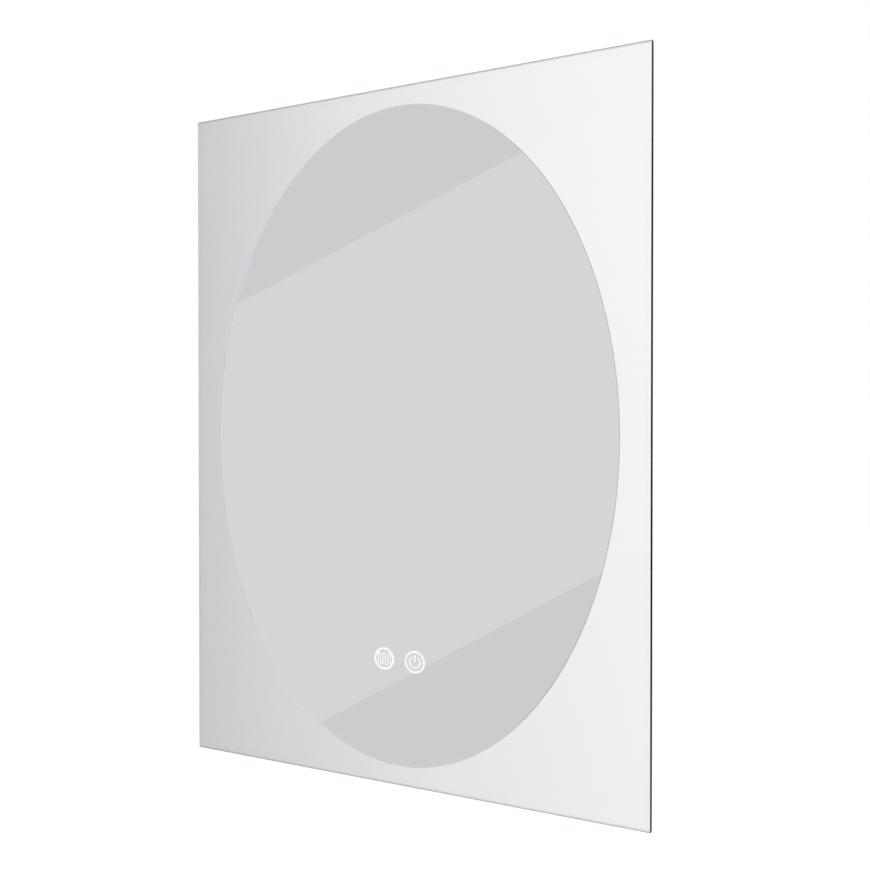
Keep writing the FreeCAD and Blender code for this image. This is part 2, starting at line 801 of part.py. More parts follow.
def driver_case_nodes():
    """The driver's tray with its ears and posts, and the lid that closes it."""
    half_w = driver_width / 2
    lid_back = driver_front + driver_wall
    outer = box(driver_left, driver_right, lid_back, panel_front, driver_z - half_w, driver_z + half_w)
    inner_left = driver_left + driver_wall
    inner_right = driver_right - driver_wall
    inner_half = half_w - driver_wall
    floor = panel_front - driver_wall
    room = box(inner_left, inner_right, lid_back - reach_over, floor, driver_z - inner_half, driver_z + inner_half)
    ear = box(driver_left - driver_ear_length, driver_right + driver_ear_length,
              panel_front - driver_ear_thickness, panel_front,
              driver_z - driver_ear_width / 2, driver_z + driver_ear_width / 2)
    posts = [disc(x, z, board_post_radius, board_back, floor)
             for x in (inner_left + 2 * board_post_radius, inner_right - 2 * board_post_radius)
             for z in (driver_z - inner_half + 2 * board_post_radius, driver_z + inner_half - 2 * board_post_radius)]
    tray = fused([fused([outer, ear]).cut(room)] + posts)
    threads = [disc(place.x, place.z, m3_radius + thread_play, panel_front - driver_ear_thickness - reach_over,
                    panel_front + reach_over) for place in driver_screw_places()]
    tray = drilled(tray, threads + driver_wire_holes())
    plate = box(driver_left, driver_right, driver_front, lid_back, driver_z - half_w, driver_z + half_w)
    lip_half = inner_half - lid_play
    lip = box(inner_left + lid_play, inner_right - lid_play, lid_back, lid_back + lid_lip,
              driver_z - lip_half, driver_z + lip_half)
    hollow = box(inner_left + lid_play + driver_wall, inner_right - lid_play - driver_wall, lid_back,
                 lid_back + lid_lip, driver_z - lip_half + driver_wall, driver_z + lip_half - driver_wall)
    lid = fused([plate, lip.cut(hollow)])
    reach = panel_thickness + driver_ear_thickness
    screws = [back_screw(place.x, place.z, panel_back, reach) for place in driver_screw_places()]
    return {"driver_case": [tray], "driver_lid": [lid], "driver_screws": screws}


def driver_board_nodes():
    """The driver's board and the main parts on it."""
    inner_left = driver_left + driver_wall
    inner_right = driver_right - driver_wall
    inner_half = driver_width / 2 - driver_wall
    board = box(inner_left + board_play, inner_right - board_play, board_front, board_back,
                driver_z - inner_half + board_play, driver_z + inner_half - board_play)
    top = board_front - connector_height
    input_edge = inner_right - connector_end_gap
    output_edge = inner_left + connector_end_gap
    connectors = [box(input_edge - connector_length, input_edge, top, board_front,
                      driver_z - input_connector_width / 2, driver_z + input_connector_width / 2),
                  box(output_edge, output_edge + connector_length, top, board_front,
                      driver_z - output_connector_width / 2, driver_z + output_connector_width / 2)]
    touch_x = driver_right - sum(touch_hole_from_end) / 2
    for x, width, sign in ((demister_lead_x, header_width, 1), (touch_x, touch_header_width, -1)):
        edge = header_edge(sign)
        connectors.append(box(x - width / 2, x + width / 2, top, board_front, edge,
                              edge - sign * connector_length))
    span, rise, breadth = transformer_size
    core = box(driver_x - span / 2, driver_x + span / 2, board_front - rise, board_front,
               driver_z - breadth / 2, driver_z + breadth / 2)
    capacitor_x = driver_x + span / 2 + 2 * capacitor_radius
    capacitors = [disc(capacitor_x, driver_z + sign * capacitor_spacing / 2, capacitor_radius,
                       board_front - capacitor_height, board_front) for sign in (-1, 1)]
    return {"driver_board": [board], "driver_connectors": connectors, "driver_transformer": [core],
            "driver_capacitors": capacitors}


def lead_clips():
    """Moulded clips on the back panel that hold the leads beside the driver."""
    front = wire_level - wire_radius - clip_wall
    strip_face = -half_width + strip_inward
    middle = (strip_face + driver_left - driver_ear_length) / 2
    low, high = feed_lead_heights()
    margin = wire_radius + clip_wall
    feed = box(middle - clip_length / 2, middle + clip_length / 2, front, panel_front, low - margin, high + margin)
    hole = wire_radius + wire_gap
    feed = drilled(feed, [bar_x(wire_level, z, hole, middle - clip_length, middle + clip_length)
                          for z in (low, high)])
    top = driver_z - driver_width / 2 - wire_gap
    places = [driver_right - from_end for from_end in touch_hole_from_end]
    touch = box(min(places) - margin, max(places) + margin, front, panel_front, top - clip_length, top)
    touch = drilled(touch, [bar_z(x, wire_level, hole, top - 2 * clip_length, top + clip_length) for x in places])
    return [feed, touch]


def driver_nodes():
    """The driver, its leads to the strips and the clips beside it."""
    nodes = driver_case_nodes()
    nodes.update(driver_board_nodes())
    strip_face = -half_width + strip_inward + wire_gap
    end = driver_left + driver_wall + connector_end_gap - wire_gap
    nodes["feed_leads"] = [tube([Vector(end, wire_level, z), Vector(strip_face, wire_level, z)], wire_radius,
                                wire_bend) for z in feed_lead_heights()]
    nodes["wire_clips"] = lead_clips()
    return nodes


# ------------------------------------------------------------------------------------------ terminal box
def cover_screw_places():
    """Centres of the four screws that hold the terminal cover and the tub."""
    reach_x = tub_length / 2 + tub_wall + tub_rim / 2
    reach_z = tub_width / 2 + tub_wall + tub_rim / 2
    return [Vector(tub_x + across * reach_x, panel_back, driver_z + up * reach_z)
            for across in (-1, 1) for up in (-1, 1)]


def cord_clamp_x():
    """The middle of the cord clamp's bar."""
    return block_left + block_length + cord_clamp_gap + cord_clamp_width / 2


def cord_screw_heights():
    """The heights of the clamp's two screws."""
    reach = cord_clamp_length / 2 - cord_screw_from_end
    return [driver_z + sign * reach for sign in (-1, 1)]


def terminal_tub():
    """The moulded tub behind the panel, with its rim, screw bosses and clamp posts."""
    half = tub_width / 2
    right = tub_left + tub_length
    outer = box(tub_left - tub_wall, right + tub_wall, tub_floor - tub_wall, panel_front,
                driver_z - half - tub_wall, driver_z + half + tub_wall)
    margin = 2 * (tub_wall + tub_rim)
    rim = rounded_plate(tub_x, driver_z, tub_length + margin, tub_width + margin, cover_corner_radius,
                        panel_front - tub_wall, panel_front)
    bosses = [disc(place.x, place.z, tub_boss_radius, panel_front - tub_wall - tub_boss_depth, panel_front)
              for place in cover_screw_places()]
    room = box(tub_left, right, tub_floor, panel_front + reach_over, driver_z - half, driver_z + half)
    post_back = tub_floor + cord_post_height
    posts = [disc(cord_clamp_x(), z, cord_post_radius, tub_floor, post_back) for z in cord_screw_heights()]
    tub = fused([fused([outer, rim] + bosses).cut(room)] + posts)
    cuts = [disc(place.x, place.z, m3_radius + thread_play, panel_front - tub_wall - tub_boss_depth + tub_wall,
                 panel_front + reach_over) for place in cover_screw_places()]
    cuts += [disc(cord_clamp_x(), z, m3_radius + thread_play, tub_floor + tub_wall, post_back + reach_over)
             for z in cord_screw_heights()]
    mains = mains_radius + mains_hole_play
    cuts += [bar_x(mains_level, pole_height(index), mains, tub_left - tub_wall - reach_over, tub_left + reach_over)
             for index in range(block_poles)]
    return drilled(tub, cuts)


def terminal_cover_nodes():
    """The cover on the mirror's back, its screws and the grommet that the supply cable comes in through."""
    margin = 2 * (tub_wall + tub_rim)
    front = panel_back
    back = panel_back + cover_thickness
    cover = rounded_plate(tub_x, driver_z, tub_length + margin, tub_width + margin, cover_corner_radius, front, back)
    rim = [edge for edge in cover.Edges if edge.BoundBox.YMin > back - cover_thickness / 4]
    cover = cover.makeFillet(cover_thickness / 4, rim)
    entry = tub_x + grommet_x
    holes = [disc(place.x, place.z, m3_radius + screw_play, front - reach_over, back + reach_over)
             for place in cover_screw_places()]
    holes.append(disc(entry, driver_z, grommet_neck_radius, front - reach_over, back + reach_over))
    grommet = fused([disc(entry, driver_z, grommet_flange_radius, front - grommet_flange_thickness, front),
                     disc(entry, driver_z, grommet_neck_radius, front, back),
                     disc(entry, driver_z, grommet_flange_radius, back, back + grommet_flange_thickness)])
    lips = [edge for edge in grommet.Edges
            if edge.BoundBox.YLength < grommet_bore_radius / 100 and edge.BoundBox.XLength > 2 * grommet_neck_radius
            and abs(abs(edge.BoundBox.YMin - (front + back) / 2) - cover_thickness / 2
                    - grommet_flange_thickness) < grommet_flange_thickness / 10]
    grommet = grommet.makeFillet(grommet_flange_thickness / 2, lips)
    grommet = grommet.cut(disc(entry, driver_z, grommet_bore_radius, front - 2 * grommet_flange_thickness,
                               back + 2 * grommet_flange_thickness))
    reach = cover_thickness + panel_thickness + tub_boss_depth - screw_tip
    screws = [back_screw(place.x, place.z, back, reach) for place in cover_screw_places()]
    return {"terminal_cover": [drilled(cover, holes)], "terminal_cover_screws": screws,
            "cable_grommet": [grommet]}


def terminal_block_nodes():
    """The terminal block with its brass inserts and clamping screws."""
    block_right = block_left + block_length
    half = block_pole_pitch * block_poles / 2
    body = box(block_left, block_right, tub_floor, block_back, driver_z - half, driver_z + half)
    screw_xs = (block_left + clamp_screw_from_end, block_right - clamp_screw_from_end)
    cuts = []
    inserts = []
    screws = []
    for index in range(block_poles):
        z = pole_height(index)
        cuts.append(bar_x(mains_level, z, insert_radius + insert_play, block_left - reach_over,
                          block_right + reach_over))
        insert = bar_x(mains_level, z, insert_radius, block_left + insert_recess, block_right - insert_recess)
        bore = bar_x(mains_level, z, insert_bore_radius, block_left - reach_over, block_right + reach_over)
        threads = [disc(x, z, clamp_screw_radius + thread_play, mains_level, mains_level + block_height)
                   for x in screw_xs]
        inserts.append(drilled(insert, [bore] + threads))
        head_seat = mains_level + insert_radius + insert_play
        tip = mains_level + mains_radius + wire_gap / 2
        for x in screw_xs:
            cuts.append(disc(x, z, clamp_well_radius, mains_level, block_back + reach_over))
            screws.append(back_screw(x, z, head_seat, head_seat - tip, clamp_screw_radius,
                                     clamp_screw_head_radius, clamp_screw_head_height))
    return {"terminal_block": [drilled(body, cuts)], "terminal_inserts": inserts, "terminal_screws": screws}


def cord_clamp_nodes():
    """The bar that holds the supply cable, on its two posts."""
    x = cord_clamp_x()
    seat = tub_floor + cord_post_height
    back = seat + cord_clamp_thickness
    bar = box(x - cord_clamp_width / 2, x + cord_clamp_width / 2, seat, back,
              driver_z - cord_clamp_length / 2, driver_z + cord_clamp_length / 2)
    bar = drilled(bar, [disc(x, z, m3_radius + screw_play, seat - reach_over, back + reach_over)
                        for z in cord_screw_heights()])
    reach = cord_clamp_thickness + cord_post_height - tub_wall - screw_tip
    screws = [back_screw(x, z, back, reach, head_height=m3_head_height) for z in cord_screw_heights()]
    return {"cord_clamp": [bar], "cord_clamp_screws": screws}


def earth_place():
    """The centre of the earth screw in the back panel."""
    return Vector(tub_left - tub_wall - earth_from_tub, panel_back, pole_height(block_poles - 1) - earth_drop)


def earth_nodes():
    """The earth screw with its nut and lug, and the lead that bonds the panel."""
    place = earth_place()
    lug_front = panel_front - lug_thickness
    screw = back_screw(place.x, place.z, panel_back,
                       panel_thickness + lug_thickness + m4_nut_height + screw_tip,
                       m4_radius, m4_head_radius, m4_head_height)
    corner = m4_nut_across_flats / math.sqrt(3)
    outline = [Vector(place.x + corner * math.cos(math.radians(60 * step)), lug_front - m4_nut_height,
                      place.z + corner * math.sin(math.radians(60 * step))) for step in range(6)]
    nut = polygon_prism(outline, Vector(0, m4_nut_height, 0))
    nut = nut.cut(disc(place.x, place.z, m4_radius + thread_play, lug_front - 2 * m4_nut_height, lug_front))
    lead_level = panel_front - lug_barrel_wall - mains_radius - wire_gap
    barrel_half = mains_radius + wire_gap + lug_barrel_wall
    barrel_low = place.z + corner + wire_gap
    barrel_high = barrel_low + lug_barrel_length
    ring = disc(place.x, place.z, lug_radius, lug_front, panel_front)
    neck = box(place.x - barrel_half, place.x + barrel_half, lug_front, panel_front, place.z, barrel_high)
    barrel = box(place.x - barrel_half, place.x + barrel_half, lead_level - barrel_half, panel_front,
                 barrel_low, barrel_high)
    lug = fused([ring, neck, barrel])
    lug = drilled(lug, [disc(place.x, place.z, m4_radius + screw_play, lug_front - reach_over,
                             panel_front + reach_over),
                        bar_z(place.x, lead_level, mains_radius + wire_gap, barrel_low + lug_barrel_wall,
                              barrel_high + reach_over)])
    start_z = pole_height(block_poles - 1)
    points = [Vector(block_left + mains_in_block, mains_level, start_z), Vector(place.x, mains_level, start_z),
              Vector(place.x, lead_level, barrel_high + wire_bend),
              Vector(place.x, lead_level, barrel_low + 2 * lug_barrel_wall)]
    bend = min(wire_bend, earth_drop / 8)
    lead = tube(points, mains_radius, bend)
    return {"earth_screw": [screw], "earth_nut": [nut], "earth_lug": [lug], "earth_lead": [lead]}


def terminal_nodes():
    """Everything in and on the terminal box, with the leads to the driver."""
    nodes = {"terminal_box": [terminal_tub()]}
    nodes.update(terminal_cover_nodes())
    nodes.update(terminal_block_nodes())
    nodes.update(cord_clamp_nodes())
    nodes.update(earth_nodes())
    end = driver_right - driver_wall - connector_end_gap + wire_gap
    nodes["mains_leads"] = [bar_x(mains_level, pole_height(index), mains_radius, end, block_left + mains_in_block)
                            for index in (0, 1)]
    return nodes


# ------------------------------------------------------------------------------------------ hanging
def sheet_rail(outline, outer_corners, inner_corners, length, holes):
    """A bent sheet along X from its section in Y and Z, with its bends rounded."""
    corners = [Vector(-length / 2, y, z) for y, z in outline]
    outer = bend_radius + rail_thickness
    radii = [outer if index in outer_corners else bend_radius if index in inner_corners else 0
             for index in range(len(outline))]
    bar = Part.Face(rounded_wire(corners, radii)).extrude(Vector(length, 0, 0))
    return drilled(bar, holes)


def wall_rail():
    """The rail on the wall: a slotted plate and, stepped off the wall, a lip that points up."""
    lip_back = -rail_standoff
    lip_front = lip_back - rail_thickness
    top = rail_plate_half
    outline = [(0, -rail_plate_half), (0, top), (lip_back, top), (lip_back, hanger_seat_z()),
               (lip_front, hanger_seat_z()), (lip_front, top - rail_thickness),
               (-rail_thickness, top - rail_thickness), (-rail_thickness, -rail_plate_half)]
    slots = [slot_level(sign * slot_spacing / 2, 0, slot_length, slot_width, -rail_thickness - reach_over, reach_over)
             for sign in (-1, 1)]
    return sheet_rail(outline, (1, 5), (2, 6), rail_length, slots)


def hanging_nodes():
    """The hanger on the mirror's back with its bar and screws, the bumpers and the wall rail."""
    plate_back = panel_back + hanger_thickness
    seat = hanger_seat_z()
    top = seat + hanger_thickness + hanger_plate_height
    hook_front = -rail_standoff + bend_radius + hanger_hook_play
    hook_back = hook_front + hanger_thickness
    outline = [(panel_back, top), (plate_back, top), (plate_back, seat + hanger_thickness),
               (hook_back, seat + hanger_thickness), (hook_back, seat - hanger_hook_depth),
               (hook_front, seat - hanger_hook_depth), (hook_front, seat), (panel_back, seat)]
    inner, outer = hanger_screw_places()
    plain = m3_radius + screw_play
    holes = [disc(place.x, place.z, plain, panel_back - reach_over, plate_back + reach_over)
             for place in inner + outer]
    length = 2 * (half_width - hanger_end_gap)
    hanger = sheet_rail(outline, (3, 7), (2, 6), length, holes)
    bar_end = half_width - profile_flange - wire_gap
    bar = box(-bar_end, bar_end, panel_front - hanger_bar_thickness, panel_front, seat + hanger_thickness, top)
    bar = drilled(bar, [disc(place.x, place.z, m3_radius + thread_play,
                             panel_front - hanger_bar_thickness - reach_over, panel_front + reach_over)
                        for place in inner])
    sheets = hanger_thickness + panel_thickness + screw_tip
    screws = [back_screw(place.x, place.z, plate_back, sheets + hanger_bar_thickness) for place in inner]
    screws += [back_screw(place.x, place.z, plate_back, sheets + profile_wall) for place in outer]
    bumpers = []
    for sign in (-1, 1):
        x = sign * (half_width - bumper_from_side)
        bumper = disc(x, centre_z - half_height + bumper_from_side, bumper_radius, panel_back, 0)
        rim = [edge for edge in bumper.Edges if edge.BoundBox.YMin > -wall_gap / 2]
        bumpers.append(bumper.makeChamfer(bumper_bevel, rim))
    return {"hanger_rail": [hanger], "hanger_bar": [bar], "hanger_screws": screws, "wall_bumpers": bumpers,
            "wall_rail": [wall_rail()]}


def build():
    """Every node of the mirror, as a list of solids by name."""
    nodes = {}
    for group in (glass_nodes, chassis_nodes, panel_nodes, strip_nodes, demister_nodes, touch_nodes, driver_nodes,
                  terminal_nodes, hanging_nodes):
        nodes.update(group())
    return nodes


def main():
    """Write one STEP file for each node."""
    os.makedirs("parts", exist_ok=True)
    for name, solids in build().items():
        shape = solids[0] if len(solids) == 1 else Part.makeCompound(solids)
        shape.exportStep(os.path.join("parts", name + ".step"))
        print(name, len(shape.Solids), "solids,", round(shape.Volume, 1), "mm3, valid:", shape.isValid())


main()
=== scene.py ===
"""Looks of the lighted bathroom mirror: finishes for the CAD nodes, modelled detail, and the studio round it.

Lengths are in metres, in the row frame: X to the right, Y into the wall, Z up.
"""
import json
import logging
import math
from dataclasses import dataclass, field, replace
from enum import Enum
from functools import reduce
from typing import Any, Callable, Dict, List, Optional, Sequence, Tuple, Union

import bpy
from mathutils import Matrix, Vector

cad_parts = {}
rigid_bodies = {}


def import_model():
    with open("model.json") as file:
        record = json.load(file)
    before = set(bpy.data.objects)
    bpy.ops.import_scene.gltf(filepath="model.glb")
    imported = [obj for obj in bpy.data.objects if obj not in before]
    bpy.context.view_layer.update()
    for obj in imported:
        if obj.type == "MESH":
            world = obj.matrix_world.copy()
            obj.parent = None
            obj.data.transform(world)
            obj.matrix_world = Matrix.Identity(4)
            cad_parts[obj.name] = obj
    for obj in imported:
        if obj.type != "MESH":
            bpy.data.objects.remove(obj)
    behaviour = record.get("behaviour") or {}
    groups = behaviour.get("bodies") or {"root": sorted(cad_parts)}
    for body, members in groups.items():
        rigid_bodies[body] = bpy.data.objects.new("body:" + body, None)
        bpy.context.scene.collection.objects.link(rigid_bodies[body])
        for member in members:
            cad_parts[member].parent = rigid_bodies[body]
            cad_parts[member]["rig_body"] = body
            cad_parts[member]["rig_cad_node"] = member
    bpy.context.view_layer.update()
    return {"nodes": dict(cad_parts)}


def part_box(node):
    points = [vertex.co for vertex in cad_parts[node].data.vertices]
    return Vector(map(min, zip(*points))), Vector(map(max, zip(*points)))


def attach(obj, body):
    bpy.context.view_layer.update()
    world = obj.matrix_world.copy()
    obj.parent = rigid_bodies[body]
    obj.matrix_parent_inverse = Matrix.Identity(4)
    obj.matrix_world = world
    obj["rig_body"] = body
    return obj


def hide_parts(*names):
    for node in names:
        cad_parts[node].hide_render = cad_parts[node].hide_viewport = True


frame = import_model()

Colour = Tuple[float, float, float]
Triple = Tuple[float, float, float]
Line = Tuple[float, float, float, float]
Stops = Tuple[Tuple[float, Colour], ...]
Rings = Sequence[Tuple[float, float]]
Layers = Tuple["Layer", ...]
Sockets = Tuple[Tuple[str, Any], ...]
Operand = Union["Signal", float]

WHITE: Colour = (1.0, 1.0, 1.0)
METAL: Sockets = (("Metallic", 1.0),)
ACROSS = (math.pi / 2, 0.0, 0.0)  # turns a circle or a cylinder so that its axis lies along Y
TINY = 1e-5  # a length that counts as none
DOUBLES = 1e-6  # how near two points merge
SQUARE_ON = 0.99  # the least Y of a normal that counts as lying along Y
FLAT = 0.5  # degrees below which the faces of a CAD node's copy are merged
CREASE = 30.0  # degrees below which a plate's or a rail's edges shade smooth
ROUND_CREASE = 35.0  # the same for turned pieces
SHARP = 40.0  # degrees above which an edge is broken
EDGE_STEPS = 2  # segments of a broken edge
ROUND = 48  # points round a turned piece or a hole
FLATNESS = 100  # how far the normals turn towards the larger faces, in percent
MM = 1000.0  # millimetres in a metre

log = logging.getLogger("mirror")


# ---- shader maths
class Signal:
    """A shader value: one output socket, on which maths is written as Python expressions."""

    def __init__(self, recipe: "Recipe", socket: Optional[bpy.types.NodeSocket]) -> None:
        """Wraps a socket.

        Args:
            recipe: The recipe whose node tree holds the socket.
            socket: The output socket. A tree's output node has none.
        """
        self.recipe = recipe
        self.socket = socket

    def maths(self, operation: str, *operands: Operand) -> "Signal":
        """The result of a Math node, with its inputs in order."""
        return self.recipe.node("ShaderNodeMath", {"operation": operation}, dict(enumerate(operands)))

    def __add__(self, other: Operand) -> "Signal":
        """Sum."""
        return self.maths("ADD", self, other)

    def __radd__(self, other: Operand) -> "Signal":
        """Sum with a number first."""
        return self.maths("ADD", other, self)

    def __sub__(self, other: Operand) -> "Signal":
        """Difference."""
        return self.maths("SUBTRACT", self, other)

    def __rsub__(self, other: Operand) -> "Signal":
        """Difference with a number first."""
        return self.maths("SUBTRACT", other, self)

    def __mul__(self, other: Operand) -> "Signal":
        """Product."""
        return self.maths("MULTIPLY", self, other)

    def __rmul__(self, other: Operand) -> "Signal":
        """Product with a number first."""
        return self.maths("MULTIPLY", other, self)

    def __truediv__(self, other: Operand) -> "Signal":
        """Quotient."""
        return self.maths("DIVIDE", self, other)

    def __rtruediv__(self, other: Operand) -> "Signal":
        """Quotient with a number first."""
        return self.maths("DIVIDE", other, self)

    def __abs__(self) -> "Signal":
        """Size without sign."""
        return self.maths("ABSOLUTE", self)

    def either(self, other: Operand) -> "Signal":
        """The larger of the two."""
        return self.maths("MAXIMUM", self, other)

    def above(self, level: float) -> "Signal":
        """1 where the signal is above the level, otherwise 0."""
        return self.maths("GREATER_THAN", self, level)

    def rise(self, low: float, high: float) -> "Signal":
        """A smooth step from 0 at low to 1 at high."""
        return self.recipe.node("ShaderNodeMapRange", {"interpolation_type": "SMOOTHSTEP", "clamp": True},
                                {"Value": self, "From Min": low, "From Max": high})


class Ray(Enum):
    """Kinds of light ray, each with its output of the Light Path node."""

    CAMERA = "Is Camera Ray"
    GLOSSY = "Is Glossy Ray"
    TRANSMISSION = "Is Transmission Ray"
    SHADOW = "Is Shadow Ray"
    DIFFUSE = "Is Diffuse Ray"


SEEN = (Ray.CAMERA, Ray.GLOSSY, Ray.TRANSMISSION)


class Recipe:
    """The node tree of one material, or of the world."""

    def __init__(self, name: str, is_world: bool = False) -> None:
        """Starts with an empty tree.

        Args:
            name: The material's or world's name.
            is_world: Whether it is a world.
        """
        self.output = "ShaderNodeOutputWorld" if is_world else "ShaderNodeOutputMaterial"
        self.owner = (bpy.data.worlds if is_world else bpy.data.materials).new(name)
        self.owner.use_nodes = True
        self.tree = self.owner.node_tree
        self.tree.nodes.clear()

    def node(self, kind: str, settings: Optional[Dict[str, Any]] = None,
             sockets: Optional[Dict[Union[str, int], Any]] = None, out: Union[str, int] = 0) -> Signal:
        """Adds a node.

        Args:
            kind: The node's type.
            settings: Its properties, set first. "stops" gives a colour ramp's stops.
            sockets: Values or signals for its inputs, by name or number.
            out: The output that is wanted.

        Returns:
            That output.
        """
        made = self.tree.nodes.new(kind)
        for key, value in (settings or {}).items():
            if key == "stops":
                self.set_stops(made.color_ramp, value)
            else:
                setattr(made, key, value)
        for key, value in (sockets or {}).items():
            entry = made.inputs[key]
            if isinstance(value, Signal):
                self.tree.links.new(value.socket, entry)
            else:
                entry.default_value = (*value, 1.0) if entry.type == "RGBA" else value
        return Signal(self, made.outputs[out] if len(made.outputs) else None)

    @staticmethod
    def set_stops(ramp: bpy.types.ColorRamp, stops: Stops) -> None:
        """Gives a colour ramp its stops.

        Args:
            ramp: The ramp.
            stops: Places from 0 to 1 with their colours.
        """
        while len(ramp.elements) < len(stops):
            ramp.elements.new(1.0)
        for element, (place, colour) in zip(ramp.elements, stops):
            element.position = place
            element.color = (*colour, 1.0)

    def place(self) -> Signal:
        """Where a point of the surface is, in the row frame."""
        return self.node("ShaderNodeTexCoord", out="Object")

    def along(self, axis: str) -> Signal:
        """A point's X, Y or Z in the row frame."""
        return self.node("ShaderNodeSeparateXYZ", None, {0: self.place()}, out=axis)

    def stretched(self, scale: Triple) -> Signal:
        """The row frame's coordinates, each multiplied by its own number."""
        return self.node("ShaderNodeMapping", None, {"Vector": self.place(), "Scale": scale})

    def between(self, first: Any, second: Any, factor: Operand) -> Signal:
        """A colour from the first at factor 0 to the second at factor 1."""
        return self.node("ShaderNodeMix", {"data_type": "RGBA"}, {0: factor, 6: first, 7: second}, out=2)

    def ramp(self, factor: Signal, stops: Stops) -> Signal:
        """A colour read from stops."""
        return self.node("ShaderNodeValToRGB", {"stops": stops}, {0: factor})

    def bump(self, height: Signal, depth: float, strength: float = 1.0) -> Signal:
        """A normal from a height between 0 and 1, where 1 stands for the depth in metres."""
        return self.node("ShaderNodeBump", None, {"Height": height, "Distance": depth, "Strength": strength},
                         out="Normal")

    def surface(self, colour: Any, **others: Any) -> Signal:
        """A Principled shader.

        Args:
            colour: Base colour, as numbers or a signal.
            others: Further sockets, with _ for a space.

        Returns:
            The shader.
        """
        sockets = {key.replace("_", " "): value for key, value in others.items()}
        return self.node("ShaderNodeBsdfPrincipled", None, {"Base Color": colour, **sockets}, out="BSDF")

    def glow(self, colour: Any, strength: Operand = 1.0) -> Signal:
        """A shader that gives light of a colour, where a strength of 1 shows it as written."""
        return self.node("ShaderNodeEmission", None, {"Color": colour, "Strength": strength})

    def blend(self, first: Signal, second: Signal, factor: Operand) -> Signal:
        """Two shaders mixed by a factor."""
        return self.node("ShaderNodeMixShader", None, {0: factor, 1: first, 2: second})

    def ray(self, *kinds: Ray) -> Signal:
        """1 for rays of any of these kinds, otherwise 0."""
        return reduce(Signal.either, [self.node("ShaderNodeLightPath", out=kind.value) for kind in kinds])

    def finished(self, shader: Signal) -> Union[bpy.types.Material, bpy.types.World]:
        """Links the shader to the output and gives the material or world."""
        self.node(self.output, None, {"Surface": shader})
        return self.owner


# ---- finishes
def scaled(colour: Colour, by: float) -> Colour:
    """A colour made darker or lighter."""
    return tuple(part * by for part in colour)


@dataclass(frozen=True)
class Extent:
    """A CAD node's box at rest."""

    low: Vector
    high: Vector

    @classmethod
    def of(cls, node: str) -> "Extent":
        """The box of a node."""
        return cls(*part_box(node))

    @property
    def middle(self) -> Vector:
        """Its middle."""
        return (self.low + self.high) / 2

    @property
    def half(self) -> Vector:
        """Half of each side."""
        return (self.high - self.low) / 2


class Pattern(Enum):
    """What a layer is made of, as a texture node and its output."""

    CLOUD = ("ShaderNodeTexNoise", 0)
    CELL = ("ShaderNodeTexVoronoi", "Distance")
    SPANGLE = ("ShaderNodeTexVoronoi", "Color")
    TRACK = ("ShaderNodeTexBrick", "Fac")


class Share(Enum):
    """What a layer has a share in."""

    TONE = "tone"
    WEAR = "wear"
    ROUGH = "rough"
    HEIGHT = "height"


class Run(Enum):
    """Which way drawn or rubbed lines run, as what the coordinates are multiplied by."""

    EVEN = (1.0, 1.0, 1.0)
    LEVEL = (0.01, 1.0, 1.0)
    UPRIGHT = (1.0, 1.0, 0.01)
    ROLLED = (0.02, 1.0, 1.0)
    RUBBED = (0.5, 1.0, 1.0)
    TURNED = (1.0, 0.05, 1.0)
    BRUSHED = (1.0, 1.0, 0.08)
    SPANGLED = (1.0, 0.4, 1.0)


@dataclass(frozen=True)
class Layer:
    """A pattern on a surface, with its scale for each metre and its shares in the looks.

    tone is its share in the step between the two colours, wear in the step to the worn colour, and height
    in the relief. rough is what it adds to the roughness. A window gives the levels of a smooth step.
    """

    scale: float
    detail: float = 3.0
    run: Run = Run.EVEN
    tone: float = 0.0
    wear: float = 0.0
    rough: float = 0.0
    height: float = 0.0
    window: Optional[Tuple[float, float]] = None
    pattern: Pattern = Pattern.CLOUD
    track_width: float = 0.12

    def signal(self, recipe: Recipe) -> Signal:
        """Adds the pattern's nodes.

        Args:
            recipe: The material's recipe.

        Returns:
            The pattern, from 0 to 1.
        """
        kind, out = self.pattern.value
        sockets = {"Vector": recipe.stretched(self.run.value), "Scale": self.scale}
        if self.pattern is Pattern.CLOUD:
            sockets["Detail"] = self.detail
        elif self.pattern is Pattern.TRACK:
            sockets["Mortar Size"] = self.track_width
        made = recipe.node(kind, None, sockets, out=out)
        if self.pattern is Pattern.SPANGLE:
            made = recipe.node("ShaderNodeRGBToBW", None, {0: made})
        return made.rise(*self.window) if self.window else made


class Finish:
    """What a surface looks like."""

    def material(self) -> bpy.types.Material:
        """The finish as a new material."""
        raise NotImplementedError


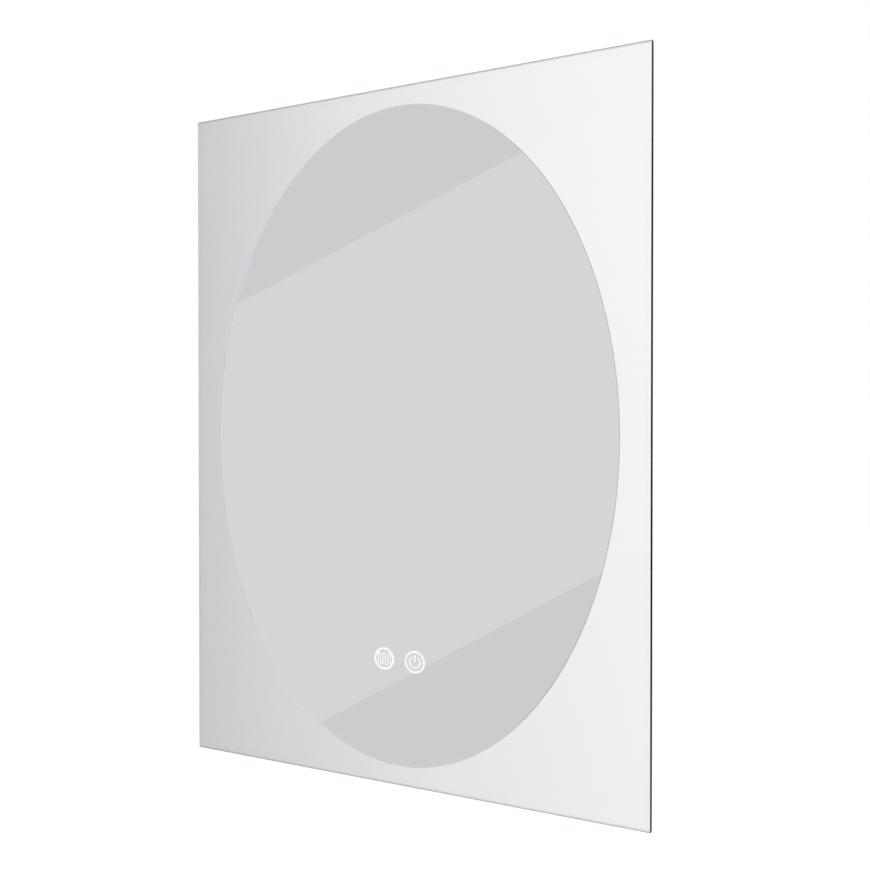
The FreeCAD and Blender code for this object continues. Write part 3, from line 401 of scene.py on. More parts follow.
@dataclass(frozen=True)
class Patterned(Finish):
    """A finish whose colour, roughness and relief follow a few layers.

    first, second and worn are what the colour is multiplied by, and second may be another colour.
    """

    name: str
    colour: Colour
    second: Union[float, Colour] = 0.82
    first: float = 1.0
    worn: float = 1.0
    layers: Layers = ()
    roughness: float = 0.25
    depth: float = 0.00001
    strength: float = 0.5
    sockets: Sockets = ()

    def patterns(self) -> Layers:
        """The layers, as they lie on this finish."""
        return self.layers

    def mixed(self, signals: Sequence[Signal], share: Share) -> Optional[Signal]:
        """Adds up the layers' signals by one of their shares.

        Args:
            signals: The layers' signals.
            share: Which share.

        Returns:
            The sum, or None where no layer has such a share.
        """
        weights = [getattr(layer, share.value) for layer in self.layers]
        parts = [signal * weight for signal, weight in zip(signals, weights) if weight]
        return reduce(Signal.__add__, parts) if parts else None

    def tone(self, recipe: Recipe, signals: Sequence[Signal]) -> Signal:
        """Adds the nodes of the colour.

        Args:
            recipe: The material's recipe.
            signals: The layers' signals.

        Returns:
            The colour.
        """
        second = self.second if isinstance(self.second, tuple) else scaled(self.colour, self.second)
        tone = recipe.between(scaled(self.colour, self.first), second, self.mixed(signals, Share.TONE))
        wear = self.mixed(signals, Share.WEAR)
        return tone if wear is None else recipe.between(tone, scaled(self.colour, self.worn), wear)

    def material(self) -> bpy.types.Material:
        """Builds the node tree.

        Returns:
            The material.
        """
        recipe = Recipe(self.name)
        signals = [layer.signal(recipe) for layer in self.patterns()]
        rough = self.mixed(signals, Share.ROUGH)
        relief = recipe.bump(self.mixed(signals, Share.HEIGHT), self.depth, self.strength)
        return recipe.finished(recipe.surface(
            self.tone(recipe, signals), Normal=relief, **dict(self.sockets),
            Roughness=self.roughness if rough is None else rough + self.roughness))


@dataclass(frozen=True)
class FloatGlass(Finish):
    """Clear float glass with green ground edges. Their colour carries painted reflection, darker towards the
    middle of the height, painted shade on the right side, and painted light where they are seen through the
    glass, paler on the left.
    """

    extent: Extent
    arris: float
    name: str = "float_glass"
    tint: Colour = (0.988, 0.993, 0.988)
    index: float = 1.52
    # deep green of the edge faces, which is the glass's own colour; its change along the height is painted
    # reflection, darkest in the middle and lighter towards the top and bottom
    deep: Stops = (
        (0.0, (0.042, 0.125, 0.036)), (0.10, (0.019, 0.060, 0.016)), (0.30, (0.004, 0.015, 0.003)),
        (0.85, (0.007, 0.027, 0.006)), (1.0, (0.020, 0.100, 0.014)))
    ground: Colour = (0.070, 0.100, 0.065)
    # painted light: pale greens that stand in for the lit frosting seen through the edges, paler on the left
    # side
    left_inside_painted_light: Colour = (0.59, 0.79, 0.54)
    end_inside_painted_light: Colour = (0.63, 0.77, 0.60)
    reach: float = 0.00005
    # painted shade: width of the strip inside the right arris that takes the dark edge colour
    right_shade_strip: float = 0.0003
    grind: Layer = Layer(900.0, 2.0)
    grind_rough: Tuple[float, float] = (0.2, 0.2)
    grind_depth: float = 0.00002
    grind_strength: float = 0.3
    cloud: Layer = Layer(12.0, 2.0)
    cloud_share: float = 0.06

    def material(self) -> bpy.types.Material:
        """Builds the node tree.

        Returns:
            The material.
        """
        recipe = Recipe(self.name)
        half = self.extent.half
        across = recipe.along("X")
        height = recipe.along("Z") - self.extent.middle.z
        outer = (abs(across) - half.x).either(abs(height) - half.z)
        # painted shade: the right edge and a strip inside it take the dark edge colour, so that side looks
        # shaded
        is_shaded_right = across.above(half.x - self.arris - self.right_shade_strip)
        is_deep_or_shaded = outer.above(-self.reach).either(is_shaded_right)
        is_rim = outer.above(-self.arris + self.reach).either(is_shaded_right)
        is_lit_left = (across * -1.0).above(half.x - self.arris)
        grind = self.grind.signal(recipe)
        # factor of the painted reflection ramp: height across the pane, with a little random cloud
        level = height / (2 * half.z) + (0.5 - self.cloud_share / 2)
        level += self.cloud.signal(recipe) * self.cloud_share
        colour = recipe.between(self.ground, recipe.ramp(level, self.deep), is_deep_or_shaded)
        # painted light: rays through the glass see the edges in pale painted colours, paler on the left, in
        # place of the lit frosting behind them
        inside = recipe.between(self.end_inside_painted_light, self.left_inside_painted_light, is_lit_left)
        colour = recipe.between(colour, inside, recipe.ray(Ray.TRANSMISSION))
        varied, least = self.grind_rough
        rim = recipe.surface(colour, Roughness=grind * varied + least, Specular_IOR_Level=0.0,
                             Normal=recipe.bump(grind, self.grind_depth, self.grind_strength))
        clear = recipe.surface(self.tint, Roughness=0.0, IOR=self.index, Transmission_Weight=1.0)
        passing = recipe.node("ShaderNodeBsdfTransparent")
        return recipe.finished(recipe.blend(recipe.blend(clear, rim, is_rim), passing,
                                            recipe.ray(Ray.SHADOW, Ray.DIFFUSE)))


@dataclass(frozen=True)
class Silvering(Finish):
    """Silver against the glass, with grey backing paint behind it and a painted shade line along its edge on
    the right side.
    """

    extent: Extent
    name: str = "silvering"
    skin: float = 0.00002
    # painted shade: width, fade towards the right side and colour of a darker line at the silver's edge
    shade_line_width: float = 0.0006
    shade_line_fade: Tuple[float, float] = (0.35, 0.75)
    line: Colour = (0.50, 0.50, 0.50)
    silver: Colour = (0.845, 0.845, 0.845)
    silver_shade: float = 0.995
    polish: float = 0.004
    cloud: Layer = Layer(2.5, 2.0)
    paint: Colour = (0.30, 0.31, 0.32)
    paint_shade: float = 0.8
    paint_rough: float = 0.55
    drag: Layer = Layer(60.0, 3.0, Run.BRUSHED)
    drag_depth: float = 0.00003

    def material(self) -> bpy.types.Material:
        """Builds the node tree.

        Returns:
            The material.
        """
        recipe = Recipe(self.name)
        half = self.extent.half
        tone = recipe.between(self.silver, scaled(self.silver, self.silver_shade), self.cloud.signal(recipe))
        across = recipe.along("X") / half.x
        height = (recipe.along("Z") - self.extent.middle.z) / half.z
        # painted shade: a thin darker line along the silver's edge, fading in towards the right side
        rim = (across * across + height * height).above((1 - self.shade_line_width / half.x) ** 2)
        tone = recipe.between(tone, self.line, rim * across.rise(*self.shade_line_fade))
        mirror = recipe.surface(tone, Metallic=1.0, Roughness=self.polish)
        drag = self.drag.signal(recipe)
        coat = recipe.between(self.paint, scaled(self.paint, self.paint_shade), drag)
        backing = recipe.surface(coat, Roughness=self.paint_rough, Normal=recipe.bump(drag, self.drag_depth))
        behind = recipe.along("Y").above(self.extent.low.y + self.skin)
        return recipe.finished(recipe.blend(mirror, backing, behind))


@dataclass(frozen=True)
class FrostedPrint(Patterned):
    """White translucent frosting on the back of the glass."""

    name: str = "frosted_print"
    colour: Colour = (0.90, 0.90, 0.90)
    second: float = 0.99
    layers: Layers = (Layer(2600.0, 2.0, rough=0.1, height=1.0), Layer(14.0, 2.0, tone=1.0))
    roughness: float = 0.85
    strength: float = 0.4
    sockets: Sockets = (("Specular_IOR_Level", 0.2),)


@dataclass(frozen=True)
class IconPrint(Patterned):
    """White print of the touch icons. Its sockets say how much it is lit from behind."""

    colour: Colour = (0.95, 0.95, 0.95)
    second: Colour = (0.90, 0.91, 0.92)
    layers: Layers = (Layer(3000.0, 2.0, tone=1.0, height=1.0),)
    roughness: float = 0.7
    strength: float = 0.3


@dataclass(frozen=True)
class Anodised(Patterned):
    """Satin anodised aluminium extrusion with die lines along its run."""

    colour: Colour = (0.66, 0.67, 0.68)
    second: float = 0.88
    layers: Layers = (
        Layer(1400.0, 4.0, tone=1.0, rough=0.12, height=0.7), Layer(5000.0, 2.0, height=0.3),
        Layer(25.0, 4.0, rough=0.08))
    roughness: float = 0.28
    strength: float = 0.6
    sockets: Sockets = METAL
    run: Run = Run.LEVEL

    def patterns(self) -> Layers:
        """The layers, with the die lines along the run."""
        return (replace(self.layers[0], run=self.run), *self.layers[1:])


@dataclass(frozen=True)
class Galvanised(Patterned):
    """Hot-dip galvanised sheet with fine spangle and stains."""

    colour: Colour = (0.56, 0.58, 0.59)
    first: float = 0.88
    second: float = 1.12
    worn: float = 0.9
    layers: Layers = (
        Layer(165.0, run=Run.SPANGLED, tone=0.8, rough=0.16, pattern=Pattern.SPANGLE),
        Layer(165.0, run=Run.SPANGLED, height=0.5, pattern=Pattern.CELL),
        Layer(700.0, 4.0, tone=0.2, rough=0.10, height=0.5),
        Layer(9.0, 4.0, wear=0.35, rough=0.08, window=(0.45, 0.75)))
    roughness: float = 0.26
    depth: float = 0.00003
    sockets: Sockets = METAL


@dataclass(frozen=True)
class RolledSheet(Patterned):
    """Zinc-coated strip, roll formed: dull, with fine lines along X and rubbed patches."""

    colour: Colour = (0.47, 0.48, 0.49)
    first: float = 0.86
    second: float = 1.1
    worn: float = 0.84
    layers: Layers = (
        Layer(900.0, 4.0, Run.ROLLED, tone=0.7, rough=0.12, height=0.6), Layer(1600.0, tone=0.3, height=0.4),
        Layer(22.0, 4.0, Run.RUBBED, wear=0.5, rough=0.12, window=(0.42, 0.70)))
    roughness: float = 0.30
    depth: float = 0.00002
    strength: float = 0.6
    sockets: Sockets = METAL


@dataclass(frozen=True)
class ZincPlated(Patterned):
    """Bright zinc plate with a faint yellow and blue cast."""

    colour: Colour = (0.60, 0.60, 0.59)
    layers: Layers = (Layer(160.0, 2.0), Layer(2500.0, rough=0.2, height=1.0))
    roughness: float = 0.18
    sockets: Sockets = METAL
    blue: Tuple[float, Colour] = (0.35, (0.55, 0.57, 0.61))
    yellow: Tuple[float, Colour] = (0.65, (0.62, 0.61, 0.55))

    def tone(self, recipe: Recipe, signals: Sequence[Signal]) -> Signal:
        """The colour, from the blue cast to the yellow one."""
        return recipe.ramp(signals[0], (self.blue, (0.5, self.colour), self.yellow))


@dataclass(frozen=True)
class Moulded(Patterned):
    """Moulded plastic with a spark-eroded grain."""

    second: float = 0.86
    layers: Layers = (Layer(2800.0, tone=0.3, rough=0.15, height=1.0), Layer(30.0, tone=0.7, rough=0.1))
    roughness: float = 0.35
    depth: float = 0.00003
    strength: float = 0.6


@dataclass(frozen=True)
class SoftRubber(Patterned):
    """Black rubber with a light bloom."""

    colour: Colour = (0.022, 0.022, 0.023)
    second: Colour = (0.065, 0.064, 0.062)
    layers: Layers = (
        Layer(120.0, 5.0, tone=0.8, rough=0.15, window=(0.40, 0.75)), Layer(1800.0, height=1.0))
    roughness: float = 0.62
    depth: float = 0.00004
    strength: float = 0.6


@dataclass(frozen=True)
class ClosedFoam(Patterned):
    """White closed-cell foam."""

    colour: Colour = (0.84, 0.84, 0.81)
    first: float = 0.8
    second: float = 1.0
    layers: Layers = (
        Layer(2200.0, tone=1.0, window=(0.0, 0.5), pattern=Pattern.CELL),
        Layer(2200.0, height=1.0, pattern=Pattern.CELL))
    roughness: float = 0.9
    depth: float = 0.0001
    strength: float = 0.7


@dataclass(frozen=True)
class CircuitBoard(Patterned):
    """Green solder mask over copper tracks."""

    colour: Colour = (0.012, 0.10, 0.045)
    second: Colour = (0.025, 0.19, 0.075)
    layers: Layers = (
        Layer(180.0, tone=0.8, height=1.0, pattern=Pattern.TRACK), Layer(900.0, tone=0.2, rough=0.15))
    depth: float = 0.00003
    sockets: Sockets = (("Coat_Weight", 0.4),)


@dataclass(frozen=True)
class Sheath(Patterned):
    """Glossy wire insulation, with an optional second colour in stripes."""

    layers: Layers = (Layer(1500.0, tone=1.0, rough=0.15, height=1.0),)
    depth: float = 0.00002
    strength: float = 0.4
    stripe: Optional[Colour] = None
    stripes_per_metre: float = 160.0
    stripe_level: float = 0.25

    def tone(self, recipe: Recipe, signals: Sequence[Signal]) -> Signal:
        """Adds the nodes of the colour and its stripes.

        Args:
            recipe: The material's recipe.
            signals: The layers' signals.

        Returns:
            The colour.
        """
        tone = super().tone(recipe, signals)
        if self.stripe is None:
            return tone
        turn = (recipe.along("X") + recipe.along("Z")) * (self.stripes_per_metre * 2 * math.pi)
        return recipe.between(tone, self.stripe, turn.maths("SINE", turn).above(self.stripe_level))


@dataclass(frozen=True)
class Phosphor(Patterned):
    """Yellow phosphor resin of an unlit light chip."""

    name: str = "phosphor"
    colour: Colour = (0.86, 0.62, 0.12)
    second: Colour = (0.90, 0.74, 0.26)
    layers: Layers = (Layer(2500.0, tone=1.0, rough=0.1, height=1.0),)
    strength: float = 0.4
    sockets: Sockets = (("Coat_Weight", 0.5),)


@dataclass(frozen=True)
class HeaterFilm(Patterned):
    """Amber polyimide film of the demister."""

    name: str = "heater_film"
    colour: Colour = (0.55, 0.22, 0.03)
    second: Colour = (0.72, 0.34, 0.06)
    layers: Layers = (Layer(20.0, tone=0.7, rough=0.2, height=1.0), Layer(1200.0, tone=0.3))
    roughness: float = 0.2
    depth: float = 0.0002
    strength: float = 0.4
    sockets: Sockets = (("Coat_Weight", 0.3),)


@dataclass(frozen=True)
class TurnedMetal(Patterned):
    """Bare metal with fine tool marks."""

    layers: Layers = (Layer(1800.0, run=Run.TURNED, tone=1.0, rough=0.15, height=1.0),)
    roughness: float = 0.22
    sockets: Sockets = METAL


@dataclass(frozen=True)
class Sealant(Patterned):
    """Skinned white silicone."""

    name: str = "sealant"
    colour: Colour = (0.80, 0.80, 0.78)
    second: float = 0.93
    layers: Layers = (Layer(80.0, tone=1.0, rough=0.2, height=1.0),)
    roughness: float = 0.3
    depth: float = 0.0003
    strength: float = 0.6


# ---- modelling
class Picked(Enum):
    """What is selected in edit mode."""

    FACE = "FACE"
    EDGE = "EDGE"


@dataclass(frozen=True)
class Seat:
    """Where a copy is set, with its turns about Z and then about X in degrees."""

    place: Triple
    about_z: float = 0.0
    about_x: float = 0.0


def from_mm(rings: Rings, base: float = 0.0) -> Rings:
    """Rings in metres from rings in millimetres, with their Y counted from a base."""
    return [(radius / MM, base + level / MM) for radius, level in rings]


def runs_deep(first: Vector, second: Vector) -> bool:
    """Whether an edge runs along Y, from its two ends."""
    return abs(first.y - second.y) > 10 * TINY


class Workbench:
    """Modelling steps on one object, by Blender's own operators."""

    def __init__(self, piece: bpy.types.Object, name: str) -> None:
        """Takes an object onto the bench.

        Args:
            piece: The object.
            name: Its new name.
        """
        self.piece = piece
        self.piece.name = self.piece.data.name = name

    @classmethod
    def started(cls, name: str, add: Callable[..., Any], sides: Sequence[float] = (1, 1, 1),
                **arguments: Any) -> "Workbench":
        """Adds a primitive at its place, with its transform applied.

        Args:
            name: The piece's name.
            add: The operator that adds the primitive.
            sides: What its X, Y and Z are multiplied by.
            arguments: The operator's own arguments.

        Returns:
            The bench with the primitive.
        """
        bpy.ops.object.select_all(action="DESELECT")
        add(**arguments)
        bench = cls(bpy.context.view_layer.objects.active, name)
        bench.piece.scale = sides
        bpy.ops.object.transform_apply(location=True, rotation=True, scale=True)
        return bench

    @classmethod
    def block(cls, name: str, sides: Sequence[float], place: Sequence[float]) -> "Workbench":
        """Starts from a block with these sides round a place."""
        return cls.started(name, bpy.ops.mesh.primitive_cube_add, sides, size=1.0, location=place)

    def focus(self) -> None:
        """Leaves edit mode and makes the piece the only selected object."""
        if bpy.context.mode != "OBJECT":
            bpy.ops.object.mode_set(mode="OBJECT")
        bpy.ops.object.select_all(action="DESELECT")
        self.piece.select_set(True)
        bpy.context.view_layer.objects.active = self.piece

    def pick(self, kind: Picked, wanted: Callable[[Vector, Vector], bool]) -> None:
        """Selects faces or edges and goes into edit mode.

        Args:
            kind: Whether faces or edges are selected.
            wanted: Takes a face's centre and normal, or an edge's two ends, and says whether it is selected.
        """
        self.focus()
        bpy.ops.object.mode_set(mode="EDIT")
        bpy.ops.mesh.select_mode(type=kind.value)
        bpy.ops.mesh.select_all(action="DESELECT")
        bpy.ops.object.mode_set(mode="OBJECT")
        mesh = self.piece.data
        if kind is Picked.FACE:
            for face in mesh.polygons:
                face.select = wanted(face.center, face.normal)
        else:
            for edge in mesh.edges:
                edge.select = wanted(*(mesh.vertices[i].co for i in edge.vertices))
        bpy.ops.object.mode_set(mode="EDIT")

    def pick_all(self) -> None:
        """Selects the whole mesh and goes into edit mode."""
        self.focus()
        bpy.ops.object.mode_set(mode="EDIT")
        bpy.ops.mesh.select_all(action="SELECT")

    def done_editing(self) -> None:
        """Goes back to object mode."""
        bpy.ops.object.mode_set(mode="OBJECT")

    @classmethod
    def turned(cls, name: str, rings: Rings, centre: Tuple[float, float] = (0, 0),
               sides: int = ROUND) -> "Workbench":
        """Turns a piece about an axis along Y, ring by ring, by extruding and resizing.

        Args:
            name: The piece's name.
            rings: Radius and Y of each ring. Two equal ends close on each other.
            centre: X and Z of the axis.
            sides: Points round the axis.

        Returns:
            The bench with the piece.
        """
        radius, level = rings[0]
        bench = cls.started(name, bpy.ops.mesh.primitive_circle_add, vertices=sides, radius=radius,
                            fill_type="NOTHING" if rings[0] == rings[-1] else "NGON",
                            location=(centre[0], level, centre[1]), rotation=ACROSS)
        bench.pick(Picked.EDGE, lambda first, second: True)
        for wide, deep in rings[1:]:
            bpy.ops.mesh.extrude_region_move(TRANSFORM_OT_translate={"value": (0.0, deep - level, 0.0)})
            if wide == 0:
                bpy.ops.mesh.merge(type="CENTER")
            elif wide != radius:
                bpy.ops.transform.resize(value=(wide / radius, 1.0, wide / radius),
                                         center_override=(centre[0], deep, centre[1]))
            radius, level = wide, deep
        bench.pick_all()
        bpy.ops.mesh.remove_doubles(threshold=DOUBLES)
        bpy.ops.mesh.normals_make_consistent(inside=False)
        bench.done_editing()
        return bench

    def apply(self, kind: str, **settings: Any) -> None:
        """Adds a modifier and applies it.

        Args:
            kind: The modifier's type.
            settings: Its properties.
        """
        self.focus()
        modifier = self.piece.modifiers.new(kind.lower(), kind)
        for key, value in settings.items():
            setattr(modifier, key, value)
        bpy.ops.object.modifier_apply(modifier=modifier.name)

    def cut_by(self, cutter: "Workbench") -> None:
        """Takes another piece's shape away and removes that piece."""
        self.apply("BOOLEAN", operation="DIFFERENCE", solver="EXACT", object=cutter.piece)
        bpy.data.objects.remove(cutter.piece)

    def repeated(self, seats: Sequence[Seat]) -> bpy.types.Object:
        """Puts a copy at each seat and joins them into one piece.

        Args:
            seats: Where the copies go.

        Returns:
            The joined piece.
        """
        copies = []
        for seat in seats:
            copy = self.piece.copy()
            copy.data = self.piece.data.copy()
            bpy.context.scene.collection.objects.link(copy)
            copy.location = seat.place
            copy.rotation_euler = (math.radians(seat.about_x), 0.0, math.radians(seat.about_z))
            copies.append(copy)
        name = self.piece.name
        bpy.data.objects.remove(self.piece)
        bpy.ops.object.select_all(action="DESELECT")
        for copy in copies:
            copy.select_set(True)
        bpy.context.view_layer.objects.active = copies[0]
        bpy.ops.object.transform_apply(location=True, rotation=True, scale=True)
        if len(copies) > 1:
            bpy.ops.object.join()
        self.piece = bpy.context.view_layer.objects.active
        self.piece.name = self.piece.data.name = name
        return self.piece

    @classmethod
    def softened(cls, node: str, width: float, name: str) -> "Workbench":
        """Copies a CAD node and rounds its sharp edges.

        Args:
            node: The node.
            width: How far the rounding reaches from an edge.
            name: The new piece's name.

        Returns:
            The bench with the copy.
        """
        source = frame["nodes"][node]
        copy = source.copy()
        copy.data = source.data.copy()
        copy.parent = None
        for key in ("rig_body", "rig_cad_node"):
            if key in copy:
                del copy[key]
        bpy.context.scene.collection.objects.link(copy)
        bench = cls(copy, name)
        bench.focus()
        if copy.data.has_custom_normals:
            bpy.ops.mesh.customdata_custom_splitnormals_clear()
        bench.pick_all()
        bpy.ops.mesh.remove_doubles(threshold=DOUBLES)
        bpy.ops.mesh.dissolve_limited(angle_limit=math.radians(FLAT))
        bench.apply("BEVEL", width=width, segments=EDGE_STEPS, limit_method="ANGLE",
                    angle_limit=math.radians(SHARP))
        bench.pick_all()
        bpy.ops.mesh.dissolve_degenerate(threshold=DOUBLES)
        bench.smooth(CREASE)
        bench.flatten()
        return bench

    def smooth(self, angle: float) -> None:
        """Shades smooth across edges below an angle in degrees."""
        self.focus()
        bpy.ops.object.shade_smooth_by_angle(angle=math.radians(angle))

    def flatten(self) -> None:
        """Turns the normals towards the larger faces, so that flat faces shade flat."""
        self.apply("WEIGHTED_NORMAL", weight=FLATNESS, keep_sharp=True)


class Body(Enum):
    """The CAD's bodies."""

    MIRROR = "mirror"
    WALL_RAIL = "wall_rail"


class Slot(Enum):
    """The record's material slots, as names."""

    ALUMINIUM = "aluminium"
    FOAM = "foam"
    GREY_PLASTIC = "grey_plastic"
    RUBBER = "rubber"
    SHEET_STEEL = "sheet_steel"
    ZINC = "zinc"


def dress(finish: Finish, *nodes: str) -> None:
    """Gives CAD nodes their material.

    Args:
        finish: Their finish.
        nodes: The nodes' names.
    """
    material = finish.material()
    for node in nodes:
        piece = frame["nodes"][node]
        if not piece.material_slots:
            piece.data.materials.append(material)
        for slot in piece.material_slots:
            slot.material = material
        log.info("%s: %s", node, material.name)


def place_on(body: Body, piece: bpy.types.Object, material: bpy.types.Material, slot: Slot,
             *nodes: str) -> None:
    """Finishes a new piece.

    Args:
        body: The CAD body that it moves with.
        piece: The piece.
        material: Its finish.
        slot: The record's material slot. Not used.
        nodes: The CAD nodes that it stands for.
    """
    piece.data.materials.clear()
    piece.data.materials.append(material)
    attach(piece, body.value)
    if nodes:
        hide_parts(*nodes)
    log.info("%s: %s, %d faces", piece.name, material.name, len(piece.data.polygons))


@dataclass
class PanScrew:
    """A pan-head screw with a cross recess, its seat at the origin and its head towards +Y.

    The tip and the crown are rings in shares of the shank's radius and of the head's radius and height.
    """

    head_radius: float = 0.0029
    head_height: float = 0.0018
    shank_radius: float = 0.0015
    reach: float = 0.0036
    recess_width: float = 0.0008
    recess_span: float = 0.0032
    recess_depth: float = 0.0010
    sides: int = 28
    tip: Rings = ((0.6, 0.0), (1.0, 0.4))
    crown: Rings = ((0.96, 0.0), (1.0, 0.06), (1.0, 0.28), (0.955, 0.50), (0.84, 0.72), (0.64, 0.88),
                    (0.38, 0.97), (0.0, 1.0))

    def model(self, name: str) -> Workbench:
        """Turns the screw and cuts its recess.

        Args:
            name: The piece's name.

        Returns:
            The bench with the screw.
        """
        shank, high = self.shank_radius, self.head_height
        rings = [(shank * radius, shank * level - self.reach) for radius, level in self.tip]
        rings += [(self.head_radius * radius, high * level) for radius, level in self.crown]
        bench = Workbench.turned(name, [*rings[:2], (shank, 0.0), *rings[2:]], sides=self.sides)
        for wide, tall in ((self.recess_width, self.recess_span), (self.recess_span, self.recess_width)):
            sides = (wide, self.recess_depth * 2, tall)
            bench.cut_by(Workbench.block("recess_cutter", sides, (0.0, high, 0.0)))
        bench.smooth(ROUND_CREASE)
        return bench

    def set_at(self, name: str, seats: Sequence[Seat], material: bpy.types.Material, node: str) -> None:
        """Models the screw once and copies it to its seats on the mirror.

        Args:
            name: The piece's name.
            seats: Where the screws sit.
            material: Their finish.
            node: The CAD node that they stand for.
        """
        place_on(Body.MIRROR, self.model(name).repeated(seats), material, Slot.ZINC, node)


# ---- sub-assemblies
class SubAssembly:
    """A group of pieces that are made and fitted together."""

    def build(self) -> None:
        """Models pieces in more detail than the CAD. There are none unless a group has its own build."""

    def dress(self) -> None:
        """Gives the CAD nodes their finishes."""
        raise NotImplementedError


@dataclass
class MirrorPane(SubAssembly):
    """The glass with its silver, frosted border and icons."""

    arris: float = 0.0007
    power_glow: float = 0.17
    demister_glow: float = 0.22

    def dress(self) -> None:
        """Gives the nodes their finishes."""
        dress(FloatGlass(Extent.of("mirror_glass"), self.arris), "mirror_glass")
        dress(Silvering(Extent.of("mirror_silvering")), "mirror_silvering")
        dress(FrostedPrint(), "frosted_border")
        for node, glow in (("power_icon", self.power_glow), ("demister_icon", self.demister_glow)):
            lit = (("Emission_Color", WHITE), ("Emission_Strength", glow))
            dress(IconPrint(f"{node}_print", sockets=lit), node)


@dataclass
class Chassis(SubAssembly):
    """The aluminium channels, their brackets and screws, the bonding tape and the sealant round them."""

    edge_break: float = 0.0003
    screw_from_corner: float = 0.019
    corner_reach: float = 0.0041
    bead_rise: float = 0.0018
    panel_side_x: float = 0.236
    panel_side_rises: Tuple[float, ...] = (-0.312, -0.104, 0.104, 0.312)
    panel_end_x: Tuple[float, ...] = (-0.212, 0.0, 0.212)
    panel_end_rise: float = 0.336
    sealant_width: float = 0.0032
    sealant_height: float = 0.0030
    sealant_slope: float = 0.98
    sealant_hollow: float = 0.2
    sealant_steps: int = 5
    near_middle: float = 0.01

    def build(self) -> None:
        """Models the channels, the screws and the sealant."""
        for name, run, sides in (("anodised_level", Run.LEVEL, ("top", "bottom")),
                                 ("anodised_upright", Run.UPRIGHT, ("left", "right"))):
            finish = Anodised(name, run=run).material()
            for side in sides:
                bench = Workbench.softened(f"frame_{side}", self.edge_break, f"channel_{side}")
                place_on(Body.MIRROR, bench.piece, finish, Slot.ALUMINIUM, f"frame_{side}")
        side = Extent.of("frame_left")
        right = Extent.of("frame_right").high.x
        self.build_screws(side, right)
        self.build_sealant(side, right)

    def build_screws(self, side: Extent, right: float) -> None:
        """Models the screws of the corners and of the back panel.

        Args:
            side: The left channel's box.
            right: X of the right channel's outer face.
        """
        zinc = ZincPlated("zinc_chassis").material()
        middle, half = side.middle.z, side.half.z
        level = Extent.of("corner_screws").low.y + PanScrew().head_radius
        inset = self.screw_from_corner
        corners = [(across, up) for across in (-1, 1) for up in (-1, 1)]
        seats = [Seat((across * right, level, middle + up * (half - inset)), about_z=-90.0 * across)
                 for across, up in corners]
        seats += [Seat((across * (right - inset), level, middle + up * half), about_x=90.0 * up)
                  for across, up in corners]
        PanScrew(reach=self.corner_reach).set_at("corner_pan_screws", seats, zinc, "corner_screws")
        back = Extent.of("back_panel").high.y - self.bead_rise
        places = [(across * self.panel_side_x, rise) for across in (-1, 1) for rise in self.panel_side_rises]
        places += [(across, up * self.panel_end_rise) for across in self.panel_end_x for up in (-1, 1)]
        seats = [Seat((across, back, middle + rise)) for across, rise in places]
        PanScrew().set_at("panel_pan_screws", seats, zinc, "panel_screws")

    def build_sealant(self, side: Extent, right: float) -> None:
        """Models the fillet of sealant between the channels and the back of the glass.

        Args:
            side: The left channel's box.
            right: X of the right channel's outer face.
        """
        centre = side.middle.z
        seat = Extent.of("frosted_border").high.y
        reach, rise, near = self.sealant_width, self.sealant_height, self.near_middle
        bench = Workbench.block("sealant_bead", (2 * (right + reach), rise, 2 * (side.half.z + reach)),
                                (0.0, seat + rise / 2, centre))
        bench.pick(Picked.EDGE, lambda first, second: min(first.y, second.y) > seat + rise - TINY)
        bpy.ops.mesh.bevel(offset=reach * self.sealant_slope, segments=self.sealant_steps,
                           profile=self.sealant_hollow, clamp_overlap=False)
        bench.pick(Picked.FACE, lambda place, normal: normal.y < -SQUARE_ON)
        bpy.ops.mesh.inset(thickness=reach)
        bench.pick(Picked.FACE, lambda place, normal: abs(normal.y) > SQUARE_ON and abs(place.x) < near
                   and abs(place.z - centre) < near)
        bpy.ops.mesh.bridge_edge_loops()
        bench.smooth(SHARP)
        place_on(Body.MIRROR, bench.piece, Sealant().material(), Slot.FOAM)

    def dress(self) -> None:
        """Gives the nodes their finishes."""
        dress(ZincPlated("zinc_brackets"), "corner_brackets")
        dress(ClosedFoam("bond_foam"), "bond_tape")
        dress(Galvanised("galvanised_panel"), "back_panel")


@dataclass
class LightStrips(SubAssembly):
    """The light strips inside the channels."""

    mask: Colour = (0.86, 0.86, 0.83)
    links: Colour = (0.80, 0.80, 0.77)

    def dress(self) -> None:
        """Gives the nodes their finishes."""
        dress(Moulded("strip_mask", self.mask, roughness=0.25, depth=0.00001),
              *(f"led_strip_{side}" for side in ("top", "bottom", "left", "right")))
        dress(Phosphor(), "led_chips", "icon_lamps")
        dress(Sheath("white_link_sheath", self.links), "strip_links")


@dataclass
class Demister(SubAssembly):
    """The heater film behind the silver."""

    track: Colour = (0.66, 0.66, 0.68)
    leads: Colour = (0.02, 0.02, 0.02)

    def dress(self) -> None:
        """Gives the nodes their finishes."""
        dress(HeaterFilm(), "demister_pad")
        dress(TurnedMetal("heater_track", self.track, roughness=0.35), "demister_element")
        dress(Sheath("black_lead_sheath", self.leads), "demister_leads")


@dataclass
class TouchControls(SubAssembly):
    """The two touch boards behind the icons."""

    leads: Colour = (0.78, 0.78, 0.75)

    def dress(self) -> None:
        """Gives the nodes their finishes."""
        dress(CircuitBoard("touch_board_mask"), "touch_board_power", "touch_board_demister")
        dress(ClosedFoam("touch_foam"), "touch_tapes")
        dress(Sheath("white_touch_sheath", self.leads), "touch_leads")


